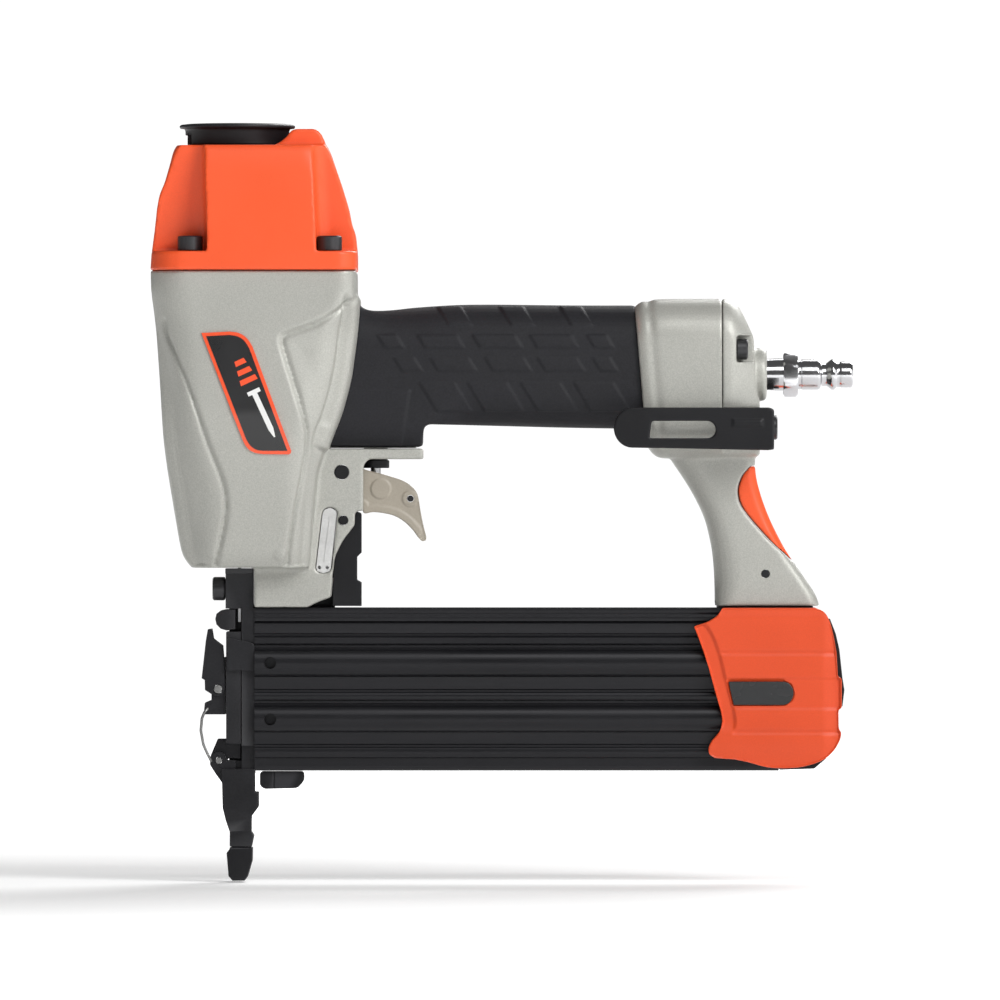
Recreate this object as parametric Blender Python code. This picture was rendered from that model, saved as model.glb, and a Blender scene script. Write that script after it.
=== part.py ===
"""Pneumatic brad nailer, built as separate named pieces.

Frame: metres, +Z up, the tool stands nose down with its tip at Z = 0,
+X from the driver head towards the air inlet, Y = 0 is the symmetry plane.
All helper inputs are millimetres.
"""
import bpy
import bmesh
import math
from mathutils import Vector

for _o in list(bpy.data.objects):
    bpy.data.objects.remove(_o, do_unlink=True)

MM = 0.001
SCENE = bpy.context.scene.collection

# ---------------------------------------------------------------- materials
MATS = {}


def material(name, rgb, rough, metal=0.0):
    m = bpy.data.materials.new(name)
    m.use_nodes = True
    b = m.node_tree.nodes["Principled BSDF"]
    b.inputs["Base Color"].default_value = (rgb[0], rgb[1], rgb[2], 1.0)
    b.inputs["Roughness"].default_value = rough
    b.inputs["Metallic"].default_value = metal
    return m


PALETTE = {
    "orange": ((0.90, 0.115, 0.030), 0.45, 0.0),
    "silver": ((0.43, 0.43, 0.40), 0.45, 0.55),
    "rubber": ((0.022, 0.022, 0.026), 0.75, 0.0),
    "black": ((0.012, 0.012, 0.014), 0.40, 0.0),
    "blacksteel": ((0.020, 0.020, 0.024), 0.35, 0.6),
    "chrome": ((0.70, 0.70, 0.72), 0.18, 1.0),
    "steel": ((0.55, 0.55, 0.56), 0.30, 1.0),
    "trigger": ((0.40, 0.36, 0.29), 0.50, 0.1),
    "window": ((0.020, 0.022, 0.022), 0.30, 0.0),
    "badge": ((0.010, 0.010, 0.012), 0.30, 0.0),
    "bumper": ((0.05, 0.05, 0.06), 0.80, 0.0),
}


# ---------------------------------------------------------------- mesh helpers
def new_object(name, verts, faces):
    me = bpy.data.meshes.new(name)
    me.from_pydata([(v[0] * MM, v[1] * MM, v[2] * MM) for v in verts], [], faces)
    bm = bmesh.new()
    bm.from_mesh(me)
    bmesh.ops.recalc_face_normals(bm, faces=bm.faces)
    bm.to_mesh(me)
    bm.free()
    o = bpy.data.objects.new(name, me)
    SCENE.objects.link(o)
    return o


def loft(name, rings):
    n = len(rings[0])
    verts = [p for r in rings for p in r]
    faces = []
    for k in range(len(rings) - 1):
        a, b = k * n, (k + 1) * n
        for i in range(n):
            j = (i + 1) % n
            faces.append((a + i, a + j, b + j, b + i))
    faces.append(tuple(range(n))[::-1])
    faces.append(tuple((len(rings) - 1) * n + i for i in range(n)))
    return new_object(name, verts, faces)


def prism_y(name, pts, y0, y1):
    return loft(name, [[(x, y0, z) for x, z in pts], [(x, y1, z) for x, z in pts]])


def prism_x(name, pts, x0, x1):
    return loft(name, [[(x0, y, z) for y, z in pts], [(x1, y, z) for y, z in pts]])


def prism_z(name, pts, z0, z1):
    return loft(name, [[(x, y, z0) for x, y in pts], [(x, y, z1) for x, y in pts]])


def box(name, x0, x1, y0, y1, z0, z1):
    return prism_z(name, [(x0, y0), (x1, y0), (x1, y1), (x0, y1)], z0, z1)


def rrect(a0, a1, b0, b1, r, n=3):
    """Rounded rectangle as (a, b) points, n segments per corner."""
    r = min(r, (a1 - a0) / 2 - 0.01, (b1 - b0) / 2 - 0.01)
    out = []
    for ca, cb, s in ((a1 - r, b1 - r, 0), (a0 + r, b1 - r, 90), (a0 + r, b0 + r, 180), (a1 - r, b0 + r, 270)):
        for k in range(n + 1):
            t = math.radians(s + 90.0 * k / n)
            out.append((ca + r * math.cos(t), cb + r * math.sin(t)))
    return out


def loft_z(name, stations, n=3):
    """stations: (z, x0, x1, half width, corner radius)."""
    return loft(name, [[(a, b, z) for a, b in rrect(x0, x1, -h, h, r, n)] for z, x0, x1, h, r in stations])


def loft_x(name, stations, n=3):
    """stations: (x, z0, z1, half width, corner radius)."""
    return loft(name, [[(x, b, a) for a, b in rrect(z0, z1, -h, h, r, n)] for x, z0, z1, h, r in stations])


def circle(ca, cb, r, n, start=0.0):
    return [(ca + r * math.cos(start + 2 * math.pi * i / n), cb + r * math.sin(start + 2 * math.pi * i / n)) for i in range(n)]


def cyl_z(name, cx, cy, r, z0, z1, n=24):
    return prism_z(name, circle(cx, cy, r, n), z0, z1)


def cyl_y(name, cx, cz, r, y0, y1, n=20):
    return prism_y(name, circle(cx, cz, r, n), y0, y1)


def cyl_x(name, cy, cz, r, x0, x1, n=20, start=0.0):
    return prism_x(name, circle(cy, cz, r, n, start), x0, x1)


def turned(name, profile, axis, c, n=24):
    """Closed ring of (radius, height) points turned about an axis through c."""
    verts, faces = [], []
    m = len(profile)
    for i in range(n):
        t = 2 * math.pi * i / n
        for r, h in profile:
            u, v = r * math.cos(t), r * math.sin(t)
            if axis == "z":
                verts.append((c[0] + u, c[1] + v, h))
            else:
                verts.append((h, c[0] + u, c[1] + v))
    for i in range(n):
        j = (i + 1) % n
        for k in range(m):
            q = (k + 1) % m
            faces.append((i * m + k, j * m + k, j * m + q, i * m + q))
    return new_object(name, verts, faces)


def spring(name, cx, cy, z0, z1, r, wire, turns, n=10, m=5):
    total = int(turns * n)
    rings = []
    for i in range(total + 1):
        t = 2 * math.pi * i / n
        z = z0 + wire + (z1 - z0 - 2 * wire) * i / total
        c = Vector((cx + r * math.cos(t), cy + r * math.sin(t), z))
        out = Vector((math.cos(t), math.sin(t), 0))
        rings.append([tuple(c + out * wire * math.cos(2 * math.pi * k / m) + Vector((0, 0, 1)) * wire * math.sin(2 * math.pi * k / m)) for k in range(m)])
    return loft(name, rings)


def tube_xz(name, pts, y, r, m=6):
    """Round wire through (x, z) points at a fixed y."""
    rings = []
    for i, (x, z) in enumerate(pts):
        a = pts[max(0, i - 1)]
        b = pts[min(len(pts) - 1, i + 1)]
        d = Vector((b[0] - a[0], 0, b[1] - a[1])).normalized()
        side = Vector((d.z, 0, -d.x))
        c = Vector((x, y, z))
        rings.append([tuple(c + side * r * math.cos(2 * math.pi * k / m) + Vector((0, 1, 0)) * r * math.sin(2 * math.pi * k / m)) for k in range(m)])
    return loft(name, rings)


def boolean(obj, tool, op):
    md = obj.modifiers.new("b", "BOOLEAN")
    md.operation = op
    md.solver = "EXACT"
    md.object = tool
    bpy.context.view_layer.update()
    dg = bpy.context.evaluated_depsgraph_get()
    me = bpy.data.meshes.new_from_object(obj.evaluated_get(dg))
    obj.modifiers.clear()
    obj.data = me
    bpy.data.objects.remove(tool, do_unlink=True)


def cut(obj, *tools):
    for t in tools:
        boolean(obj, t, "DIFFERENCE")
    return obj


def join(obj, *tools):
    for t in tools:
        boolean(obj, t, "UNION")
    return obj


def common(obj, tool):
    boolean(obj, tool, "INTERSECT")
    return obj


def tidy(obj):
    bm = bmesh.new()
    bm.from_mesh(obj.data)
    bmesh.ops.remove_doubles(bm, verts=bm.verts, dist=2e-6)
    bmesh.ops.dissolve_degenerate(bm, edges=bm.edges, dist=2e-6)
    bmesh.ops.dissolve_limit(bm, angle_limit=math.radians(0.5), verts=bm.verts, edges=bm.edges, use_dissolve_boundaries=False)
    bmesh.ops.triangulate(bm, faces=[f for f in bm.faces if len(f.verts) > 4])
    bmesh.ops.recalc_face_normals(bm, faces=bm.faces)
    bm.to_mesh(obj.data)
    bm.free()
    return obj


def finish(obj, name, mat, origin=None, clean=True):
    if clean:
        tidy(obj)
    obj.name = name
    obj.data.name = name
    rgb, rough, metal = PALETTE[mat]
    m = material(name + "_mat", rgb, rough, metal)
    obj.data.materials.clear()
    obj.data.materials.append(m)
    if origin is not None:
        o = Vector(origin) * MM
        for v in obj.data.vertices:
            v.co -= o
        obj.location = o
    return obj


# ---------------------------------------------------------------- key sizes
DX = -94.6          # driver line
HOUSING_HW = 34.0
SCREWS = [(-111.8, -27.0), (-111.8, 27.0), (-61.9, -27.0), (-61.9, 27.0)]


# ---------------------------------------------------------------- casting
def handle_core(off, x0, x1):
    return loft_x("core", [
        (x0, 167.5 - off, 203.0 + off, 13.0 + off, 8.0 + off),
        (x1, 167.5 - off, 203.0 + off, 13.0 + off, 8.0 + off)])


def valve_boss(off, x0=-60.0):
    return box("boss", x0, -31.0 + off, -9.0 - off, 9.0 + off, 152.0, 172.0)


FRAME = [(-89.2, 98.4), (-70.0, 98.4), (-66.4, 100.2), (-61.6, 102.0), (-61.0, 109.9), (-60.0, 117.0),
         (-57.4, 122.2), (-53.1, 127.9), (-52.9, 132.8), (-50.0, 133.1), (-50.0, 148.5), (-49.3, 150.3),
         (-47.7, 151.6), (-28.5, 151.6), (-28.5, 155.4), (-62.8, 155.4), (-70.0, 160.0), (-80.0, 140.0), (-89.2, 120.0)]


def make_casting():
    c = loft_z("c", [
        (112.6, -111.5, -69.5, 22.0, 8), (113.6, -113.4, -69.4, 23.5, 9), (117.0, -115.0, -69.2, 24.5, 10),
        (123.6, -116.3, -68.6, 26.0, 10), (135.8, -118.3, -67.4, 29.0, 11), (147.5, -120.2, -66.2, 31.5, 12),
        (158.5, -121.6, -62.2, 33.0, 12), (168.0, -122.2, -58.4, HOUSING_HW, 12), (180.0, -122.9, -55.3, HOUSING_HW, 12),
        (197.2, -124.1, -53.0, HOUSING_HW, 12), (206.5, -125.2, -52.3, HOUSING_HW, 11.5), (211.5, -126.0, -52.2, HOUSING_HW, 11),
        (219.0, -126.1, -52.3, HOUSING_HW, 11)], 4)
    join(c, prism_y("f", FRAME, -12.0, 12.0))
    join(c, handle_core(0.0, -70.0, 60.0))
    join(c, valve_boss(0.0, -66.0))
    # handle end with the seat for the rear cap
    join(c, loft_x("e", [(47.4, 156.0, 206.5, 18.5, 9), (49.2, 153.6, 208.0, 20.0, 9), (52.0, 152.2, 208.9, 20.8, 9),
                         (60.0, 151.6, 209.2, 21.0, 9), (78.8, 151.6, 209.2, 21.0, 9)], 4))
    join(c, loft_x("e2", [(66.0, 151.7, 169.4, 16.0, 4), (92.4, 152.6, 169.4, 16.0, 4)], 3))
    join(c, leg_loft("l"))
    cut(c, accent_prism("a", 0.3, 14.0))
    # air chamber, cylinder bore, driver slot, duct and head chamber
    cut(c, loft_x("air", [(-64.0, 173.0, 199.0, 9.5, 6), (82.0, 173.0, 199.0, 9.5, 6)]))
    cut(c, cyl_z("bore", DX, 0, 19.6, 127.0, 222.0, 32))
    cut(c, cyl_z("low", DX, 0, 16.0, 117.5, 130.0, 32))
    cut(c, box("slot", DX - 1.2, DX + 1.2, -2.6, 2.6, 96.0, 120.0))
    cut(c, cyl_z("head", DX, 0, 22.0, 213.0, 222.0, 32))
    cut(c, box("duct", -72.0, -60.0, -8.0, 8.0, 186.0, 222.0))
    cut(c, box("duct2", -78.0, -66.0, -6.0, 6.0, 214.0, 222.0))
    cut(c, cyl_z("vh", -45.6, 0, 4.6, 148.0, 176.0, 20))
    # pocket between the frame cheeks
    pocket = prism_y("p", [(-68.2, 103.0), (-61.9, 103.0), (-61.9, 97.0), (-40.0, 97.0), (-40.0, 151.5), (-66.0, 151.5), (-68.2, 149.0)], -8.4, 8.4)
    cut(c, pocket)
    slot = [(-67.2, 112.4), (-66.6, 111.1), (-64.3, 110.4), (-62.0, 111.1), (-61.3, 112.4), (-59.2, 132.3), (-59.8, 133.6), (-61.8, 134.4), (-63.9, 133.8), (-64.8, 132.3)]
    cut(c, prism_y("s", slot, -14.0, 14.0))
    cut(c, cyl_y("tp", -57.7, 146.9, 2.75, -14.0, 14.0, 20))
    cut(c, cyl_y("fp", -57.2, 129.6, 1.9, -14.0, 14.0, 16))
    cut(c, cyl_y("lp", 94.5, 110.4, 1.6, -16.0, 16.0, 14))
    for i, (sx, sy) in enumerate(SCREWS):
        cut(c, cyl_z("sh", sx, sy, 2.8, 196.0, 222.0, 12))
    cut(c, cyl_x("bh", 0, 163.0, 2.8, 80.0, 95.0, 12))
    for sy in (-14.0, 14.0):
        cut(c, cyl_x("eh", sy, 191.0, 1.9, 66.0, 80.0, 12))
    cut(c, cyl_z("nh", DX, 0, 3.4, 96.0, 98.0, 12))
    return finish(c, "body_casting", "silver")


LEG = [(157.0, 56.8, 90.9, 13.0, 5), (152.4, 59.9, 90.8, 13.0, 5), (146.7, 63.8, 90.8, 12.6, 5), (141.9, 67.0, 91.8, 12.5, 5),
       (135.3, 70.6, 93.9, 12.5, 5), (129.5, 73.2, 96.2, 12.5, 5), (119.2, 75.5, 101.4, 12.5, 5), (111.5, 76.2, 106.8, 12.5, 5),
       (105.5, 76.4, 111.0, 12.5, 5), (100.4, 76.5, 114.2, 12.5, 5), (98.9, 76.5, 113.9, 12.4, 5)]


def leg_loft(name):
    return loft_z(name, LEG, 3)


def accent_prism(name, off, hw):
    inner = [(88.9, 148.9), (86.2, 145.4), (84.8, 140.7), (85.9, 135.3), (90.1, 129.4), (96.6, 122.2), (101.4, 117.6), (104.2, 114.9)]
    pts = [(x - off, z - (off if i > 3 else 0.0)) for i, (x, z) in enumerate(inner)]
    return prism_y(name, pts + [(112.0, 114.9 - off), (112.0, 148.9 + off), (88.9, 148.9 + off)] if off else pts + [(112.0, 114.9), (112.0, 148.9)], -hw, hw)


make_casting()

ins = leg_loft("ins")
common(ins, accent_prism("a2", 0.0, 12.3))
finish(ins, "leg_insert", "orange")
finish(cyl_y("lpn", 94.5, 110.4, 1.45, -12.3, 12.3, 14), "leg_pin", "blacksteel")

# ---------------------------------------------------------------- rubber grip
g = loft_x("g", [
    (-66.0, 155.7, 207.3, 17.0, 9), (-52.0, 155.7, 207.0, 17.2, 9), (-41.0, 155.7, 205.6, 17.4, 9), (-26.0, 155.7, 206.4, 17.5, 9),
    (-20.0, 157.7, 207.0, 17.5, 9), (0.0, 158.0, 207.0, 17.5, 9), (50.8, 158.0, 206.6, 17.5, 9)], 4)
GRIP = [(-61.5, 155.9), (-28.5, 155.9), (-28.5, 161.6), (-28.0, 163.2), (-26.4, 164.2), (-3.4, 163.6), (24.2, 162.9), (50.6, 162.5),
        (51.4, 171.0), (50.6, 180.8), (48.8, 193.6), (47.6, 206.9), (24.2, 206.8), (-17.1, 207.0), (-30.9, 206.0), (-41.9, 205.0),
        (-49.5, 205.3), (-51.6, 207.1), (-51.6, 205.2), (-52.6, 194.1), (-54.8, 179.8), (-58.6, 165.7), (-61.0, 161.2), (-62.4, 157.5)]
gp = prism_y("gp", GRIP, -24.0, 24.0)
common(g, gp)
cut(g, handle_core(0.3, -80.0, 62.0))
cut(g, valve_boss(0.3, -80.0))
# clearance to the housing wall and to the handle end of the casting
cut(g, loft_z("hc", [
    (140.0, -121.0, -64.8, 31.9, 12), (147.5, -121.0, -65.9, 31.9, 12),
    (158.5, -122.0, -61.9, 33.3, 12), (168.0, -122.5, -58.1, 34.3, 12), (180.0, -123.2, -55.0, 34.3, 12),
    (197.2, -124.4, -52.7, 34.3, 12), (206.5, -125.5, -52.0, 34.3, 11.5), (211.5, -126.3, -51.9, 34.3, 11)], 4))
cut(g, loft_x("ec", [(47.1, 155.6, 206.9, 18.9, 9), (48.9, 153.2, 208.4, 20.4, 9), (52.0, 151.8, 209.3, 21.2, 9), (60.0, 151.2, 209.6, 21.4, 9)], 4))
finish(g, "grip_sleeve", "rubber")

# ---------------------------------------------------------------- top cap
cap = loft_z("cap", [
    (219.3, -126.1, -52.2, 35.5, 11.5), (225.9, -125.7, -52.2, 35.4, 11.5), (232.7, -124.8, -52.9, 35.0, 11.5), (236.0, -124.4, -54.2, 34.8, 11.5),
    (241.7, -123.8, -55.3, 34.2, 12), (247.2, -122.8, -56.9, 33.4, 12), (250.6, -121.1, -58.0, 32.8, 12), (257.0, -119.3, -60.2, 31.6, 12),
    (262.4, -117.9, -62.0, 30.4, 11), (264.1, -116.4, -63.2, 28.8, 10)], 4)
hump = prism_y("hump", [(-83.0, 260.0), (-83.0, 264.0), (-81.5, 264.3), (-77.5, 266.9), (-74.1, 269.9), (-67.0, 269.9), (-64.6, 267.5), (-62.6, 262.4), (-62.6, 260.0)], -23.0, 23.0)
join(cap, hump)
cut(cap, cyl_z("pk", -95.4, 0, 21.7, 264.1, 275.0, 36))
cut(cap, cyl_z("pk2", -95.4, 0, 19.2, 262.6, 275.0, 32))
for sx, sy in SCREWS:
    s = -1.0 if sy < 0 else 1.0
    left = sx < -90
    rings = []
    for z, k in ((226.0, 0.0), (231.0, 0.0), (266.0, 1.0)):
        if left:
            xi = -105.6 - 1.2 * k
        else:
            xi = -66.6 - 1.6 * k
        yi = 20.4 + 3.4 * k
        r = 5.5
        far = -140.0 if left else -40.0
        d = 1.0 if left else -1.0
        arc = []
        for q in range(5):
            t = math.radians(90.0 * q / 4)
            arc.append((xi - d * r + d * r * math.sin(t), s * (yi + r - r * math.cos(t)), z))
        rings.append([(far, s * yi, z)] + arc + [(xi, s * 45.0, z), (far, s * 45.0, z)])
    cut(cap, loft("sc", rings))
    cut(cap, cyl_z("ch", sx, sy, 2.8, 215.0, 240.0, 12))
cut(cap, cyl_z("cv", DX, 0, 22.0, 215.0, 250.0, 32))
cut(cap, box("cd", -76.0, -60.0, -8.0, 8.0, 215.0, 225.0))
cut(cap, cyl_z("ex", DX, 0, 7.0, 245.0, 268.0, 16))
finish(cap, "top_cap", "orange")

for i, (sx, sy) in enumerate(SCREWS):
    b = turned("b", [(1.4, 200.0), (2.5, 200.0), (2.5, 226.2), (4.5, 226.2), (4.5, 231.0), (4.0, 231.5), (2.1, 231.5), (2.1, 228.4), (1.4, 228.4)], "z", (sx, sy), 12)
    finish(b, "cap_screw_%d" % (i + 1), "blacksteel", (sx, sy, 226.2))

# exhaust deflector: a disc with a skirt open towards the front
d = cyl_z("d", -95.4, 0, 20.8, 270.4, 272.2, 36)
join(d, cyl_z("d1", -95.4, 0, 18.7, 264.4, 271.0, 32))
cut(d, cyl_z("d2", -95.4, 0, 15.6, 262.0, 269.2, 28))
cut(d, box("d3", -120.0, -100.0, -9.0, 9.0, 262.0, 268.2))
join(d, cyl_z("d5", -95.4, 0, 4.2, 264.4, 270.6, 16))
cut(d, cyl_z("d4", -95.4, 0, 2.6, 262.0, 275.0, 16))
cut(d, cyl_z("d6", -95.4, 0, 5.2, 271.0, 275.0, 18))
finish(d, "exhaust_deflector", "black", (-95.4, 0, 268.0))
b = turned("b", [(1.3, 264.6), (2.2, 264.6), (2.2, 271.1), (4.6, 271.1), (4.6, 271.9), (3.9, 272.5), (1.3, 272.5)], "z", (-95.4, 0), 16)
finish(b, "deflector_screw", "blacksteel", (-95.4, 0, 270.0))

# ---------------------------------------------------------------- drive line
finish(turned("cy", [(17.9, 128.0), (19.3, 128.0), (19.3, 212.5), (17.9, 212.5)], "z", (DX, 0), 32), "cylinder_sleeve", "steel")
bm_ = turned("bu", [(2.8, 118.0), (15.6, 118.0), (15.6, 126.0), (13.5, 127.4), (2.8, 127.4)], "z", (DX, 0), 28)
finish(bm_, "bumper", "bumper")
ps = cyl_z("ps", DX, 0, 17.6, 204.5, 211.5, 32)
join(ps, cyl_z("ps2", DX, 0, 6.0, 201.5, 205.0, 16))
cut(ps, turned("pg", [(16.4, 207.0), (20.0, 207.0), (20.0, 209.2), (16.4, 209.2)], "z", (DX, 0), 32))
cut(ps, cyl_z("psd", DX, 0, 9.0, 209.5, 214.0, 20))
finish(ps, "piston", "blacksteel")
finish(box("bl", DX - 0.6, DX + 0.6, -1.6, 1.6, 93.0, 201.2), "driver_blade", "steel")
hv = turned("hv", [(10.0, 213.6), (21.4, 213.6), (21.4, 221.0), (10.0, 221.0)], "z", (DX, 0), 32)
finish(hv, "head_valve", "bumper")
finish(spring("hs", DX, 0, 221.3, 249.6, 16.0, 0.9, 5.0, 12, 5), "head_valve_spring", "steel", None, False)

# ---------------------------------------------------------------- rear cap and inlet
END = [(79.1, 209.2), (81.0, 209.2), (83.1, 208.1), (85.3, 205.9), (87.0, 202.6), (88.8, 198.7), (90.1, 196.1), (90.3, 192.4), (93.4, 191.5),
       (94.7, 188.2), (95.1, 183.0), (94.7, 176.9), (93.6, 173.8), (92.7, 172.4), (92.5, 169.9), (79.1, 169.9)]
ec = loft_x("ec", [(79.1, 165.0, 209.2, 21.0, 9), (83.5, 165.0, 209.2, 20.6, 9), (87.5, 165.0, 206.0, 18.4, 10), (90.4, 165.0, 200.0, 15.0, 10),
                   (92.5, 166.0, 197.0, 11.5, 10), (95.3, 168.0, 195.0, 10.0, 9)], 4)
common(ec, prism_y("ep", END, -24.0, 24.0))
cut(ec, loft_x("ea", [(78.0, 173.0, 199.0, 9.5, 6), (85.0, 173.5, 198.0, 9.0, 6)]))
cut(ec, cyl_x("eb", 0, 182.0, 6.0, 84.0, 97.0, 20))
for sy in (-14.0, 14.0):
    s = -1.0 if sy < 0 else 1.0
    cut(ec, box("er", 83.9, 100.0, min(s * 9.8, s * 30.0), max(s * 9.8, s * 30.0), 186.2, 196.0))
    cut(ec, cyl_x("eh", sy, 191.0, 1.9, 78.0, 90.0, 12))
finish(ec, "end_cap", "silver")
for i, sy in enumerate((-14.0, 14.0)):
    b = turned("b", [(0.9, 68.0), (1.6, 68.0), (1.6, 84.1), (3.7, 84.1), (3.7, 87.6), (3.2, 88.1), (1.8, 88.1), (1.8, 86.0), (0.9, 86.0)], "x", (sy, 191.0), 14)
    finish(b, "end_cap_screw_%d" % (i + 1), "blacksteel", (84.1, sy, 191.0))
pl = turned("pl", [(2.4, 86.0), (5.7, 86.0), (5.7, 101.2), (5.4, 101.2), (5.4, 114.2), (5.0, 114.7), (4.1, 114.9), (4.1, 116.4), (5.4, 117.2), (5.6, 118.2), (5.6, 119.6),
                   (5.0, 120.2), (4.5, 120.6), (4.5, 125.6), (4.0, 126.1), (2.4, 126.1)], "x", (0, 182.0), 24)
hx = cyl_x("hx", 0, 182.0, 8.1, 101.2, 106.2, 6, math.radians(30))
cut(hx, cyl_x("hxb", 0, 182.0, 4.6, 100.0, 108.0, 24))
join(pl, hx)
finish(pl, "air_plug", "chrome")

# ---------------------------------------------------------------- belt hook
hk = prism_y("hk", [(43.6, 155.6), (95.0, 154.6), (97.2, 155.4), (97.2, 169.2), (95.5, 169.9), (43.8, 170.0), (41.0, 168.4), (39.9, 165.4), (39.8, 160.2), (40.9, 157.2)], -33.0, -29.2)
join(hk, box("hp", 92.9, 97.2, -32.0, 8.0, 154.9, 169.3))
win = [(a, b) for a, b in rrect(52.4, 76.3, 158.9, 165.2, 2.9, 3)]
cut(hk, prism_y("hw", win, -36.0, -26.0))
cut(hk, cyl_x("hh", 0, 163.0, 2.8, 90.0, 99.0, 14))
finish(hk, "belt_hook", "black", (95.0, 0, 163.0))
b = turned("b", [(1.3, 82.0), (2.5, 82.0), (2.5, 97.4), (4.4, 97.4), (4.4, 98.6), (3.9, 99.0), (1.3, 99.0)], "x", (0, 163.0), 16)
finish(b, "belt_hook_bolt", "blacksteel", (97.4, 0, 163.0))

# ---------------------------------------------------------------- side badges
BADGE = [(-107.7, 196.7), (-95.6, 197.2), (-91.6, 195.3), (-89.4, 192.2), (-75.4, 153.9), (-76.2, 153.2), (-86.6, 153.3), (-90.4, 155.0), (-92.8, 158.2)]


def wall(z):
    """Half width of the housing side wall at height z."""
    if z >= 168.0:
        return HOUSING_HW
    if z >= 158.5:
        return 33.0 + (z - 158.5) / 9.5
    return 31.5 + (z - 147.5) / 11.0 * 1.5


for side, s in (("left", -1.0), ("right", 1.0)):
    # the plate follows the slight taper of the side wall
    slab = []
    for z in (150.0, 158.5, 168.0, 200.0):
        slab.append((wall(z), z))
    yz = [(s * (w + 0.12), z) for w, z in slab] + [(s * (w + 0.80), z) for w, z in reversed(slab)]
    plate = prism_x("pl", yz, -112.0, -70.0)
    common(plate, prism_y("pp", BADGE, -40.0, 40.0))
    finish(plate, "badge_" + side, "badge")

# ---------------------------------------------------------------- trigger group
TRIG = [(-60.8, 144.2), (-61.5, 147.2), (-60.6, 149.4), (-58.6, 150.6), (-55.0, 150.8), (-49.8, 148.0), (-44.5, 146.6), (-40.8, 145.5), (-36.2, 144.1),
        (-32.9, 142.0), (-30.8, 139.5), (-30.0, 136.2), (-29.6, 132.9), (-28.5, 127.9), (-27.3, 122.8), (-28.0, 122.1), (-29.8, 122.7), (-32.0, 125.9),
        (-35.4, 129.2), (-39.1, 131.3), (-43.6, 132.3), (-46.9, 132.5), (-49.8, 131.9), (-50.6, 134.4), (-53.0, 138.5), (-57.0, 143.0)]
tr = prism_y("tr", TRIG, -8.0, 8.0)
cut(tr, prism_y("ti", [(-70.0, 160.0), (-20.0, 160.0), (-20.0, 133.0), (-31.6, 131.0), (-33.6, 131.0), (-38.4, 133.7), (-43.4, 134.5), (-49.0, 134.2), (-54.0, 134.0), (-70.0, 134.0)], -6.3, 6.3))
cut(tr, cyl_y("tp", -57.7, 146.9, 2.75, -10.0, 10.0, 20))
cut(tr, cyl_y("tq", -33.1, 137.4, 1.3, -10.0, 10.0, 14))
finish(tr, "trigger", "trigger", (-57.7, 0, 146.9))
finish(cyl_y("tpn", -57.7, 146.9, 2.6, -12.3, 12.3, 20), "trigger_pin", "black")
lv = prism_y("lv", [(-31.3, 136.6), (-31.2, 138.4), (-32.4, 139.5), (-36.0, 140.6), (-41.0, 142.3), (-45.6, 143.1), (-50.0, 142.9), (-54.3, 142.6), (-54.3, 140.3),
                    (-50.0, 140.0), (-45.0, 139.6), (-38.0, 136.4), (-34.2, 135.4), (-32.4, 135.5)], -3.2, 3.2)
cut(lv, cyl_y("lq", -33.1, 137.4, 1.3, -10.0, 10.0, 14))
finish(lv, "trigger_lever", "steel", (-33.1, 0, 137.4))
finish(cyl_y("lpp", -33.1, 137.4, 1.15, -8.1, 8.1, 14), "trigger_lever_pin", "steel", (-33.1, 0, 137.4))
vb = turned("vb", [(2.1, 148.4), (4.9, 148.4), (4.9, 151.2), (4.3, 151.2), (4.3, 171.0), (2.1, 171.0)], "z", (-45.6, 0), 20)
finish(vb, "trigger_valve_body", "black")
finish(cyl_z("vs", -45.6, 0, 1.8, 145.8, 166.0, 16), "valve_stem", "steel", (-45.6, 0, 150.0))
finish(cyl_y("fpn", -57.2, 129.6, 1.7, -12.2, 12.2, 16), "frame_pin", "black")

# ---------------------------------------------------------------- depth adjuster
br = prism_y("br", [(-52.8, 133.0), (-50.9, 132.2), (-50.7, 131.6), (-50.7, 118.0), (-52.3, 116.4), (-52.3, 108.3), (-50.7, 107.3), (-50.7, 98.8), (-60.9, 98.8), (-60.9, 106.0),
                    (-60.4, 117.0), (-58.6, 122.0), (-58.6, 133.0)], -8.0, 8.0)
cut(br, box("brw", -70.0, -45.0, -5.6, 5.6, 108.2, 116.6))
cut(br, cyl_y("brp", -57.2, 129.6, 1.85, -10.0, 10.0, 16))
cut(br, cyl_z("bra", -57.0, 0, 1.6, 104.0, 122.0, 12))
finish(br, "depth_bracket", "black")
wh = cyl_z("wh", -57.0, 0, 4.7, 108.9, 115.9, 18)
cut(wh, cyl_z("whb", -57.0, 0, 1.6, 105.0, 120.0, 12))
finish(wh, "depth_wheel", "blacksteel", (-57.0, 0, 112.4))
finish(cyl_z("wp", -57.0, 0, 1.45, 104.4, 121.6, 12), "depth_wheel_pin", "steel")

# ---------------------------------------------------------------- contact arm
rod = prism_y("rod", [(-63.5, 134.9), (-60.8, 134.9), (-63.1, 108.9), (-66.2, 108.9)], -5.9, 5.9)
join(rod, box("tab", -63.0, -51.6, -3.0, 3.0, 133.4, 134.9))
join(rod, prism_y("stud", [(-65.4, 113.2), (-62.9, 113.2), (-62.3, 118.8), (-64.6, 118.8)], -8.0, 14.2))
finish(rod, "contact_rod", "steel")
lk = prism_y("lk", [(-98.6, 27.0), (-98.6, 98.0), (-91.6, 98.0), (-91.6, 27.0)], 11.2, 12.8)
join(lk, prism_y("lk2", [(-98.6, 91.5), (-98.6, 97.6), (-97.0, 99.2), (-68.3, 99.2), (-66.8, 119.8), (-60.4, 119.8), (-60.4, 91.5)], 12.4, 14.0))
cut(lk, prism_y("lk3", [(-65.9, 112.8), (-62.5, 112.8), (-61.8, 119.2), (-65.0, 119.2)], 9.0, 18.0))
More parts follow.
